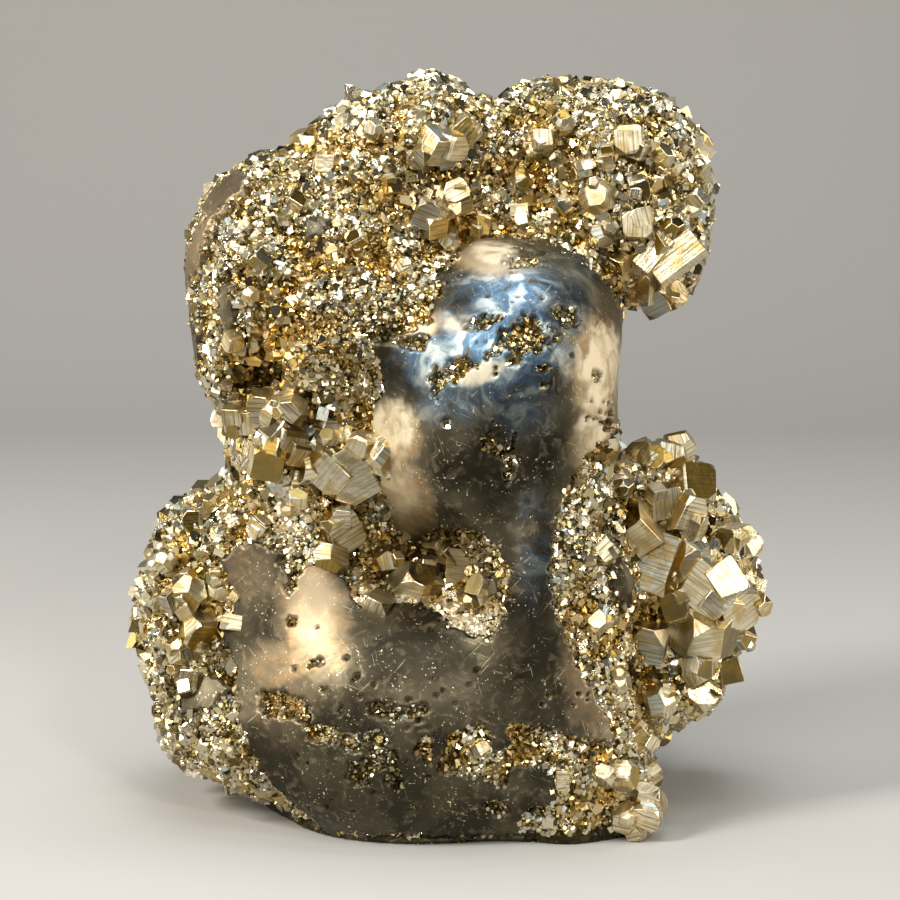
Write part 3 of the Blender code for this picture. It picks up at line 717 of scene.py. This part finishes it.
polishLook = {
    # bronze and umber are tarnish colours kept darker than tarnished pyrite, partly a painted dark reflection
    # of the dim surroundings; umber also paints the shade of the dark ovals
    "bronze": (0.112, 0.097, 0.062, 1.0),
    "umber": (0.046, 0.040, 0.026, 1.0),
    "fleck": (0.90, 0.80, 0.52, 1.0),
    # bed: near black under the druse, painted shade between the small crystals
    "bed": (0.070, 0.052, 0.016, 1.0),
    # warm is a tarnish colour that also paints highlights; pale paints cream highlights
    "warmTarnishAndHighlight": (0.66, 0.52, 0.33, 1.0),
    "paintedHighlight": (0.86, 0.77, 0.58, 1.0),
    "blue": (0.09, 0.18, 0.28, 1.0),
    # ice paints the blue-white highlights in the blue tarnish and the pale lines of its net
    "ice": (0.62, 0.70, 0.68, 1.0),
    "rust": (0.34, 0.20, 0.08, 1.0),
    # Sizes of the patterns
    "warp": 5.0,
    "warpReach": (7.0, 7.0, 7.0),
    "clouds": 7.0,
    "mottle": 3.2,
    "ripple": 1.1,
    "net": 1.25,
    "fleckSize": 0.34,
    "fleckPatch": 3.0,
    "swell": 5.0,
    "grit": 0.25,
    "bedGrit": 0.35,
    "wornPatch": 6.0,
    "satin": 1.6,
    "depth": 0.35,
    # Turn of each set of scratches about y, and how far apart they lie; the form and level of one scratch
    "scratches": [(0.35, 1.1), (-0.75, 1.4), (1.3, 1.2), (2.3, 1.6), (0.9, 1.0)],
    "scratchForm": (3.5, 3.0, 0.13),
    "scratchLevel": (0.79, 0.84),
    # Roughness of the bed under the druse, of the tarnish of the warm and cool ovals and of the painted
    # highlights
    "bedRoughness": 0.5,
    "tarnishRoughness": 0.62,
    "paleRoughness": 0.70,
}


def massMaterial():
    material, graph, place = startMaterial("groundMass")
    look = polishLook
    polished, warmTarnishAndHighlight, paintedHighlight, cool = [graph.attribute(name) for name in ("polished", "warmTarnishAndHighlight", "paintedHighlight", "cool")]
    warp = {"Vector": place, "Scale": 1.0 / look["warp"], "Detail": 2.0}
    warp = graph.node("ShaderNodeTexNoise", {}, warp, "Color")
    bent = graph.vector("ADD", place, graph.vector("MULTIPLY", warp, look["warpReach"]))
    clouds = graph.noise(place, look["clouds"], 6.0)
    mottle = graph.noise(bent, look["mottle"], 6.0)
    ripple = graph.noise(bent, look["ripple"], 5.0)
    net = {"Vector": bent, "Scale": 1.0 / look["net"]}
    net = graph.node("ShaderNodeTexVoronoi", {"feature": "DISTANCE_TO_EDGE"}, net, "Distance")
    rim = graph.step(0.10, 0.30, warmTarnishAndHighlight) * graph.step(0.62, 0.38, warmTarnishAndHighlight) * graph.step(0.42, 0.55, ripple)
    # blue tarnish, lighter towards painted blue-white highlights
    blueTarnishAndSheen = graph.mixColour(graph.step(0.47, 0.64, mottle), look["blue"], look["ice"])
    bronze = graph.mixColour(graph.step(0.40, 0.60, clouds), look["bronze"], look["umber"])
    flecks = graph.step(0.695, 0.715, graph.noise(place, look["fleckSize"], 1.0))
    flecks = flecks * graph.step(0.42, 0.62, graph.noise(place, look["fleckPatch"], 2.0))
    relief = graph.noise(place, look["swell"], 2.0) * 0.5 + ripple * 0.08
    relief = relief + graph.noise(place, look["grit"], 2.0) * 0.02
    worn = graph.step(0.45, 0.65, graph.noise(place, look["wornPatch"], 1.0))
    for turn, size in look["scratches"]:
        laid = {"Vector": place, "Rotation": (0.0, turn, 0.0), "Scale": look["scratchForm"]}
        laid = graph.node("ShaderNodeMapping", {"vector_type": "TEXTURE"}, laid)
        lines = graph.step(*look["scratchLevel"], graph.noise(laid, size, 0.0)) * worn
        flecks = flecks + lines * 0.4
        relief = relief - lines * 0.01
    colour = graph.coated(bronze, [
        (graph.step(0.50, 0.75, ripple) * 0.25, look["warmTarnishAndHighlight"]),
        # painted shade of the dark ovals
        (graph.attribute("paintedShade") * 0.8, look["umber"]),
        # blue tarnish with painted blue-white highlights
        (cool * graph.step(0.33, 0.47, mottle), blueTarnishAndSheen),
        # warm tarnish and painted highlights
        (warmTarnishAndHighlight * graph.step(0.2, 0.55, clouds), look["warmTarnishAndHighlight"]),
        (rim * 0.4, look["rust"]),
        # painted cream highlights
        (paintedHighlight * graph.step(0.30, 0.60, mottle), look["paintedHighlight"]),
        (graph.step(0.09, 0.02, net) * cool * 0.12, look["ice"]),
        (flecks.maths("MINIMUM", flecks, 1.0), look["fleck"]),
    ])
    # the bed under the druse is near black: painted shade between the small crystals
    colour = graph.mixColour(polished, look["bed"], colour)
    satin = 0.30 + graph.noise(place, look["satin"], 6.0) * 0.24
    satin = graph.mixValue(warmTarnishAndHighlight.maths("MAXIMUM", warmTarnishAndHighlight, cool) * 0.6, satin, look["tarnishRoughness"])
    satin = graph.mixValue(paintedHighlight, satin, look["paleRoughness"])
    roughness = graph.mixValue(polished, look["bedRoughness"], satin)
    relief = graph.mixValue(polished, graph.noise(place, look["bedGrit"], 3.0), relief - flecks * 0.08)
    finishMaterial(graph, colour, roughness, relief, look["depth"])
    return material


crystalForm = {
    # How far each habit's six square, twelve five-sided and eight corner faces lie from the middle, and their
    # lean
    "habits": {
        "cube": ((0.84, 1.04), (1.16, 1.50), (1.35, 1.75), 0.03),
        "block": ((0.84, 1.04), (1.08, 1.40), (1.15, 1.55), 0.05),
        "slab": ((0.90, 1.00), (1.25, 1.50), (1.55, 1.80), 0.02),
        "twelve": ((1.00, 1.20), (0.86, 1.06), (1.05, 1.40), 0.05),
        "uneven": ((0.70, 1.05), (1.90, 2.00), (0.95, 2.40), 0.15),
    },
    "slab": Vector((1.3, 0.85, 0.7)),
    "stretch": (0.85, 1.12),
    "lift": -0.2,
    "otherCount": 16,
    "otherWidth": (3.0, 5.0),
    "otherSpacing": 10.0,
    "otherLowest": 3.0,
    "otherFacing": 0.2,
    "otherHabits": ["cube", "block", "twelve"],
    "companions": (2, 5),
    "companionSize": (0.40, 0.80),
    "companionShift": (0.10, 0.38),
    "companionTurn": 0.45,
    "bevel": 0.05,
    "edgeTone": 0.62,
    # x and height on the plane through the middle, width, habit and for some the turn: tilt, roll, spin
    "front": {
        "rightCluster": [
            (33.1, 22.3, 8.4, "twelve", (18, 0, 38)), (38.2, 26.6, 6.8, "block", (25, -30, 20)),
            (34.5, 28.5, 6.8, "cube", (10, 35, -15)), (31.2, 32.1, 5.4, "twelve", (0, 0, 30)),
            (26.7, 31.4, 8.4, "block", (-15, 20, -20)), (24.7, 36.0, 5.8, "cube", (30, -40, 0)),
            (31.2, 38.6, 5.2, "block", (0, 20, 40)), (28.3, 45.8, 5.2, "twelve", (20, 10, 0)),
            (24.7, 48.1, 5.0, "block"), (37.3, 35.1, 5.2, "block"), (33.3, 14.3, 4.0, "block"),
            (32.5, 42.3, 4.6, "cube"), (26.8, 21.4, 4.8, "block"),
        ],
        "foot": [(26.0, 0.8, 5.2, "twelve"), (23.4, -2.0, 3.8, "twelve")],
        "cave": [
            (-4.5, 29.5, 6.5, "twelve", (10, 15, 20)), (-1.3, 33.7, 5.0, "block", (-20, 30, 30)),
            (1.3, 31.8, 5.5, "cube", (15, 4, -8)),
        ],
        "channel": [
            (-12.3, 42.8, 6.6, "cube", (5, -32, -10)), (-9.6, 45.8, 4.8, "block", (0, 40, 45)),
            (-13.7, 36.4, 5.6, "block", (20, -20, 30)), (-24.4, 52.2, 4.8, "twelve", (0, 0, 0)),
            (-25.0, 44.8, 4.8, "cube", (10, 12, 15)), (-17.9, 44.1, 4.2, "block"),
        ],
        "arch": [
            (-1.3, 86.0, 4.2, "block", (25, 20, 35)), (2.6, 88.3, 3.8, "block"),
            (-2.6, 77.0, 4.2, "block", (10, 25, 10)), (0.7, 78.5, 4.2, "block", (0, -20, 20)),
            (19.2, 79.3, 4.2, "twelve"), (24.7, 75.3, 4.2, "block"), (25.0, 66.6, 4.8, "block"),
            (30.4, 71.2, 6.0, "slab", (-20, -35, -15)), (23.4, 87.1, 3.8, "block"),
        ],
        "leftLobe": [(-32.5, 22.7, 5.0, "block", (15, 20, 30)), (-34.2, 27.6, 4.4, "twelve")],
    },
    "smaller": [
        (22.1, 42.5, 4.2, "twelve"), (27.6, 39.9, 4.6, "cube"), (27.3, 13.5, 4.0, "twelve"),
        (40.3, 21.0, 4.0, "twelve"), (29.5, 26.0, 4.6, "block"), (36.5, 17.6, 3.6, "cube"),
        (23.1, 4.1, 3.4, "block"), (27.9, 3.4, 3.0, "cube"), (-8.2, 31.7, 4.0, "twelve"),
        (-9.5, 26.6, 4.0, "block"), (3.6, 28.2, 4.0, "twelve"), (-27.9, 50.6, 4.0, "block"),
        (-20.8, 51.9, 4.0, "twelve"), (-19.5, 39.9, 3.6, "twelve"), (-15.3, 32.6, 4.0, "twelve"),
        (-21.4, 47.7, 4.0, "cube"), (-15.6, 49.0, 3.6, "twelve"), (-3.2, 84.1, 3.0, "block"),
        (-0.7, 74.1, 3.2, "twelve"), (27.9, 84.8, 3.2, "twelve"), (11.7, 86.4, 2.8, "block"),
        (19.5, 74.1, 3.2, "twelve"), (28.6, 66.0, 3.4, "block"), (9.1, 81.5, 2.6, "twelve"),
        (32.5, 78.9, 2.8, "block"), (15.0, 89.3, 2.6, "twelve"), (-34.7, 26.9, 3.4, "block"),
        (-35.1, 19.7, 3.4, "twelve"), (-33.5, 16.5, 3.2, "cube"), (-33.0, 37.9, 3.0, "block"),
        (-37.7, 32.1, 2.8, "twelve"), (-30.4, 27.9, 3.4, "twelve"), (-28.4, 24.0, 2.6, "cube"),
        (-25.0, 36.8, 2.4, "block"), (-7.5, 81.0, 2.2, "cube"), (-12.0, 74.0, 2.2, "block"),
        (-6.0, 70.5, 2.4, "twelve"), (4.5, 75.8, 2.6, "block"), (9.0, 77.4, 2.2, "cube"),
        (14.6, 78.2, 2.4, "twelve"), (24.5, 80.6, 2.6, "cube"), (29.0, 75.4, 2.8, "twelve"),
        (22.2, 70.6, 3.0, "cube"), (20.4, 84.2, 2.6, "block"), (-24.8, 71.2, 2.0, "cube"),
        (-28.5, 60.5, 2.2, "block"), (-26.0, 66.5, 2.0, "twelve"), (-20.0, 79.0, 2.0, "block"),
        (20.8, 33.5, 2.6, "cube"), (19.6, 24.0, 2.4, "block"), (22.5, 16.0, 2.8, "twelve"),
        (24.8, 9.0, 2.8, "cube"), (20.5, 4.0, 2.4, "block"), (14.5, 3.6, 2.0, "cube"),
        (4.0, 7.4, 2.0, "block"), (-16.5, 84.0, 2.2, "cube"), (-10.0, 88.5, 2.2, "block"),
        (17.0, 83.0, 2.2, "cube"),
    ],
}


squareFaces = [sign * Vector(axis) for axis in ((1, 0, 0), (0, 1, 0), (0, 0, 1)) for sign in (-1, 1)]
fiveFaces = []
for one, two in product((-1, 1), repeat=2):
    fiveFaces += [Vector((0, one, 2 * two)), Vector((one, 2 * two, 0)), Vector((2 * two, 0, one))]
cornerFaces = [Vector(signs) for signs in product((-1, 1), repeat=3)]


def habitCorners(habit, width, rng):  # the corners that a crystal's face planes cut out
    *reaches, lean = crystalForm["habits"][habit]
    normals, distances = [], []
    for family, reach in zip((squareFaces, fiveFaces, cornerFaces), reaches):
        for normal in family:
            normals.append((normal.normalized() + Vector(rng.normal(0.0, lean, 3))).normalized())
            distances.append(rng.uniform(*reach))
    normals, distances = np.array(normals), np.array(distances)
    triples = np.array(list(combinations(range(len(normals)), 3)))
    triples = triples[np.abs(np.linalg.det(normals[triples])) > 0.01]
    corners = np.linalg.solve(normals[triples], distances[triples][:, :, None])[:, :, 0]
    corners = corners[(corners @ normals.T < distances + 1e-6).all(axis=1)]
    stretch = Vector(rng.uniform(*crystalForm["stretch"], 3)) * (width / 2.0)
    if habit == "slab":
        stretch = stretch * crystalForm["slab"]
    return [Vector(corner) * stretch for corner in corners]


def addHull(bm, corners):
    verts = [bm.verts.new(corner) for corner in corners]
    hull = bmesh.ops.convex_hull(bm, input=verts)
    loose = hull["geom_interior"] + hull["geom_unused"]
    loose = list({item for item in loose if isinstance(item, bmesh.types.BMVert)})
    bmesh.ops.delete(bm, geom=loose, context="VERTS")
    return [item for item in hull["geom"] if isinstance(item, bmesh.types.BMFace)]


def addCrystal(bm, place, outward, crystal, number):  # a crystal and the smaller ones grown against it
    width, habit, *turn = crystal
    rng = np.random.default_rng((shapeSeed, number))
    corners = habitCorners(habit, width, rng)
    if turn:
        rotation = Euler([radians(angle) for angle in turn[0]], "ZYX").to_matrix()
    else:
        rotation = Euler(rng.uniform(0.0, pi, 3)).to_matrix()
    centre = place + outward * (width * crystalForm["lift"])
    grown = [(1.0, Vector((0.0, 0.0, 0.0)), rotation)]
    for _ in range(rng.integers(*crystalForm["companions"])):
        shift = Vector(rng.choice([-1.0, 1.0], 3) * rng.uniform(*crystalForm["companionShift"], 3)) * width
        lean = Euler(rng.uniform(-1.0, 1.0, 3) * crystalForm["companionTurn"]).to_matrix()
        grown.append((rng.uniform(*crystalForm["companionSize"]), shift, rotation @ lean))
    stripes = bm.loops.layers.uv["stripes"]
    tones = bm.faces.layers.float["tone"]
    for size, shift, turned in grown:
        middle = centre + rotation @ shift
        for face in addHull(bm, [middle + turned @ (corner * size) for corner in corners]):
            face.normal_update()
            face[tones] = 0.5 + 0.5 * noise.cell(face.normal * 2.3 + Vector((number * 7.1, 0.0, 0.0)))
            squarely = [abs(value) for value in turned.transposed() @ face.normal]
            axis = squarely.index(max(squarely))
            for loop in face.loops:
                local = turned.transposed() @ (loop.vert.co - middle)
                loop[stripes].uv = (local[(axis + 1) % 3], local[(axis + 2) % 3])


def otherCrystals(rng):  # places and kinds of the crystals that the front doesn't show
    points = np.array([face.center for face in mass.polygons])
    normals = np.array([face.normal for face in mass.polygons])
    polished = (normals[:, 1] > backPolish["facing"]) & (backNoise(points) > backPolish["level"])
    free = (normals[:, 1] > crystalForm["otherFacing"]) & (points[:, 2] > crystalForm["otherLowest"])
    indices = np.flatnonzero(free & ~polished)
    found = []
    for index in rng.permutation(len(indices)):
        centre = Vector(points[indices[index]])
        if all((centre - place).length > crystalForm["otherSpacing"] for place, _, _ in found):
            kind = (rng.uniform(*crystalForm["otherWidth"]), crystalForm["otherHabits"][rng.integers(3)])
            found.append((centre, Vector(normals[indices[index]]), kind))
        if len(found) == crystalForm["otherCount"]:
            break
    return found


def crystalsMesh():
    tree = BVHTree.FromPolygons([v.co for v in mass.vertices], [f.vertices for f in mass.polygons])
    entries = [entry for group in crystalForm["front"].values() for entry in group]
    found = []
    for x, height, *crystal in entries + crystalForm["smaller"]:
        start, sight = frontRay(x, height)
        place, outward, _, _ = tree.ray_cast(start, sight)
        if place is None:
            place, outward, _, _ = tree.find_nearest(start + sight * view["distance"])
        found.append((place, outward, crystal))
    found[len(entries):len(entries)] = otherCrystals(np.random.default_rng(shapeSeed))
    bm = bmesh.new()
    bm.loops.layers.uv.new("stripes")
    tones = bm.faces.layers.float.new("tone")
    for number, (place, outward, crystal) in enumerate(found):
        addCrystal(bm, place, outward, crystal, number)
    bmesh.ops.dissolve_limit(bm, angle_limit=radians(1.0), verts=bm.verts[:], edges=bm.edges[:])
    edges = bmesh.ops.bevel(bm, geom=bm.edges[:], offset=crystalForm["bevel"], segments=1, affect="EDGES")
    for face in edges["faces"]:
        face[tones] = crystalForm["edgeTone"]
    for vert in bm.verts:
        vert.co.z = max(vert.co.z, 0.0)
    mesh = bpy.data.meshes.new("largeCrystals")
    bm.to_mesh(mesh)
    bm.free()
    points = meshPoints(mesh)
    for name, shares in tintAndPaintedLightShares(frontPlaces(points), 0.0).items():
        shares = (shares * (points[:, 1] < 0.0)).astype(np.float32)
        mesh.attributes.new(name, "FLOAT", "POINT").data.foreach_set("value", shares)
    mesh.transform(toFrame)
    return mesh


largeCrystals = addObject("largeCrystals", crystalsMesh())
print("larger crystals grown:", len(largeCrystals.data.polygons), "faces")

# Small crystals of the druse: finest and coarsest grain they grow in, how far apart, size beside the grain,
# and whether on the front
druseForm = {
    "layers": {
        "druseSugar": (0.0, 0.50, 0.33, 1.0, 1.0),
        "druseFine": (0.50, 0.62, 0.40, 1.0, 1.0),
        "druseMiddle": (0.62, 0.75, 0.46, 1.0, 1.0),
        "druseCoarse": (0.75, 0.95, 0.56, 1.0, 1.0),
        "druseCoarser": (0.95, 1.15, 0.70, 1.0, 1.0),
        "druseCoarsest": (1.15, 9.0, 0.85, 1.0, 1.0),
        "druseSprinkled": (0.0, 9.0, 1.7, 1.6, 1.0),
        "druseBack": (0.0, 9.0, 0.90, 1.0, 0.0),
    },
    "size": (0.7, 1.6),
    "rise": (-0.25, 0.25),
    "merge": 0.12,
    "stretch": (0.8, 1.2),
    "habits": ["uneven"] * 3 + ["twelve"] + ["uneven"] * 4,
}


def habitCollection():
    habits = bpy.data.collections.new("habits")
    rng = np.random.default_rng(shapeSeed + 1)
    for number, habit in enumerate(druseForm["habits"]):
        bm = bmesh.new()
        addHull(bm, habitCorners(habit, 1.0, rng))
        bmesh.ops.remove_doubles(bm, verts=bm.verts[:], dist=druseForm["merge"])
        bmesh.ops.dissolve_limit(bm, angle_limit=radians(2.0), verts=bm.verts[:], edges=bm.edges[:])
        mesh = bpy.data.meshes.new("habit")
        bm.to_mesh(mesh)
        bm.free()
        habits.objects.link(bpy.data.objects.new(f"habit{number}", mesh))
    return habits


def druseTree(habits, material):
    tree = bpy.data.node_groups.new("druse", "GeometryNodeTree")
    tree.interface.new_socket("Geometry", in_out="INPUT", socket_type="NodeSocketGeometry")
    for name in ("Finest", "Coarsest", "Spacing", "Size", "Front"):
        tree.interface.new_socket(name, in_out="INPUT", socket_type="NodeSocketFloat")
    tree.interface.new_socket("Seed", in_out="INPUT", socket_type="NodeSocketInt")
    tree.interface.new_socket("Geometry", in_out="OUTPUT", socket_type="NodeSocketGeometry")
    graph = Graph(tree)
    given = tree.nodes.new("NodeGroupInput")
    inputs = {socket.name: Wire(graph, socket) for socket in given.outputs if socket.name}

    def read(name):
        return graph.node("GeometryNodeInputNamedAttribute", {"data_type": "FLOAT"}, {"Name": name})

    def random(low, high, kind, seed):
        sockets = {"FLOAT_VECTOR": (0, 1, 0), "FLOAT": (2, 3, 1), "INT": (4, 5, 2)}[kind]
        values = {sockets[0]: low, sockets[1]: high, 8: inputs["Seed"] + seed}
        return graph.node("FunctionNodeRandomValue", {"data_type": kind}, values, sockets[2])

    grain = read("grain")
    right = read("seeded") * grain.maths("GREATER_THAN", grain, inputs["Finest"])
    right = right * grain.maths("LESS_THAN", grain, inputs["Coarsest"])
    side = read("front")
    right = right * side.maths("COMPARE", side, inputs["Front"], 0.4)
    spacing = inputs["Spacing"] * toMetres
    distribute = graph.node("GeometryNodeDistributePointsOnFaces", {"distribute_method": "POISSON"}, {
        "Mesh": inputs["Geometry"], "Distance Min": spacing, "Density Max": 3.0 / (spacing * spacing),
        "Density Factor": right, "Seed": inputs["Seed"],
    })
    size = grain * inputs["Size"] * random(*druseForm["size"], "FLOAT", 1) * toMetres
    low, high = druseForm["stretch"]
    stretch = random((low,) * 3, (high,) * 3, "FLOAT_VECTOR", 2)
    rise = graph.node("ShaderNodeVectorMath", {"operation": "SCALE"}, {
        0: Wire(graph, distribute.socket.node.outputs["Normal"]),
        "Scale": random(*druseForm["rise"], "FLOAT", 6) * grain * toMetres,
    })
    placed = graph.node("GeometryNodeInstanceOnPoints", {}, {
        "Points": graph.node("GeometryNodeSetPosition", {}, {"Geometry": distribute, "Offset": rise}),
        "Instance": graph.node("GeometryNodeCollectionInfo", {}, {
            "Collection": habits, "Separate Children": True, "Reset Children": True,
        }),
        "Pick Instance": True,
        "Instance Index": random(0, len(habits.objects) - 1, "INT", 3),
        "Rotation": random((0.0,) * 3, (2.0 * pi,) * 3, "FLOAT_VECTOR", 4),
        "Scale": graph.node("ShaderNodeVectorMath", {"operation": "SCALE"}, {0: stretch, "Scale": size}),
    })
    toned = graph.node("GeometryNodeStoreNamedAttribute", {"data_type": "FLOAT", "domain": "INSTANCE"}, {
        "Geometry": placed, "Name": "tone", "Value": random(0.0, 1.0, "FLOAT", 5),
    })
    joined = graph.node("GeometryNodeRealizeInstances", {}, {"Geometry": toned})
    dressed = graph.node("GeometryNodeSetMaterial", {}, {"Geometry": joined, "Material": material})
    graph.set(tree.nodes.new("NodeGroupOutput").inputs[0], dressed)
    return tree


def growDruse(material):
    habits = habitCollection()
    tree = druseTree(habits, material)
    keys = {item.name: item.identifier for item in tree.interface.items_tree if item.in_out == "INPUT"}
    grown = []
    for number, (name, layerForm) in enumerate(druseForm["layers"].items()):
        layer = addObject(name, groundMass.data)
        modifier = layer.modifiers.new("druse", "NODES")
        modifier.node_group = tree
        for setting, value in zip(("Finest", "Coarsest", "Spacing", "Size", "Front"), layerForm):
            modifier[keys[setting]] = value
        modifier[keys["Seed"]] = number * 10
        mesh = settle(layer, name)
        mesh.calc_loop_triangles()
        print(name, "grown:", len(mesh.loop_triangles), "triangles")
        grown.append(addObject(name, mesh))
    for item in list(habits.objects):
        bpy.data.objects.remove(item)
    bpy.data.collections.remove(habits)
    return grown


druseLayers = growDruse(druseMaterial())
largeCrystals.data.materials.append(crystalMaterial())
groundMass.data.materials.append(massMaterial())

studio = {
    "floorColour": (0.50, 0.49, 0.47, 1.0),
    # the floor turns from pale to this near black towards the front: painted falloff of the light
    "paintedDusk": (0.04, 0.04, 0.042, 1.0),
    "fadeFront": (-60.0, -130.0),
    "halfWidth": 1200.0,
    "front": -700.0,
    "back": 420.0,
    "bend": 260.0,
    "top": 1100.0,
    "world": (0.036, 0.038, 0.041, 1.0),
    # Place, what it points at, width, height, watts, colour
    "lamps": {
        "key": ((-420.0, -330.0, 430.0), (0.0, 0.0, 50.0), 170.0, 170.0, 3.75, (1.0, 0.95, 0.88)),
        "fill": ((-110.0, -560.0, 190.0), (0.0, 0.0, 50.0), 180.0, 180.0, 0.6, (1.0, 0.96, 0.90)),
        "left": ((-560.0, 90.0, 130.0), (0.0, 0.0, 50.0), 300.0, 300.0, 1.45, (1.0, 0.92, 0.80)),
        "right": ((560.0, -20.0, 170.0), (0.0, 0.0, 50.0), 280.0, 320.0, 1.3, (1.0, 0.92, 0.80)),
        "top": ((20.0, 80.0, 620.0), (0.0, 0.0, 40.0), 300.0, 220.0, 1.5, (0.94, 0.97, 1.0)),
        "sky": ((20.0, -300.0, 560.0), (0.0, 0.0, 50.0), 340.0, 260.0, 1.05, (0.96, 0.98, 1.0)),
        "glint": ((150.0, -560.0, 330.0), (0.0, 0.0, 55.0), 60.0, 60.0, 1.0, (1.0, 0.97, 0.92)),
    },
}


def studioFloor():
    bm = bmesh.new()
    bends = [
        (studio["back"] + studio["bend"] * sin(turn), studio["bend"] * (1.0 - cos(turn)))
        for turn in np.linspace(0.0, pi / 2, 13)
    ]
    profile = [(studio["front"], 0.0), *bends, (studio["back"] + studio["bend"], studio["top"])]
    sides = (-studio["halfWidth"], studio["halfWidth"])
    rows = [[bm.verts.new((x, y, z)) for x in sides] for y, z in profile]
    for (a, b), (c, d) in zip(rows, rows[1:]):
        bm.faces.new((a, b, d, c))
    mesh = bpy.data.meshes.new("floor")
    bm.to_mesh(mesh)
    bm.free()
    mesh.transform(Matrix.Scale(toMetres, 4))
    mesh.shade_smooth()
    material, graph, place = startMaterial("floor")
    depth = graph.node("ShaderNodeSeparateXYZ", {}, {"Vector": place}, "Y")
    # painted falloff: the floor darkens towards the front
    paintedFalloff = graph.step(*studio["fadeFront"], depth)
    shader = graph.tree.nodes["Principled BSDF"]
    graph.set(shader.inputs["Base Color"], graph.mixColour(paintedFalloff, studio["floorColour"], studio["paintedDusk"]))
    graph.set(shader.inputs["Roughness"], 0.9)
    mesh.materials.append(material)
    addObject("floor", mesh)


def studioLight():
    world = bpy.data.worlds.new("studio")
    world.use_nodes = True
    world.node_tree.nodes["Background"].inputs["Color"].default_value = studio["world"]
    bpy.context.scene.world = world
    bpy.context.scene.view_settings.view_transform = "Standard"
    for name, (place, target, width, height, watts, colour) in studio["lamps"].items():
        lamp = bpy.data.lights.new(name, "AREA")
        lamp.shape = "RECTANGLE"
        lamp.size = width * toMetres
        lamp.size_y = height * toMetres
        lamp.energy = watts
        lamp.color = colour
        item = bpy.data.objects.new(name, lamp)
        bpy.context.scene.collection.objects.link(item)
        item.location = Vector(place) * toMetres
        item.rotation_euler = (Vector(target) - Vector(place)).to_track_quat("-Z", "Y").to_euler()


studioFloor()
studioLight()
print("studio set")

for piece in [groundMass, largeCrystals, *druseLayers]:
    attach(piece, "root")
    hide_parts("pyrite_cluster")
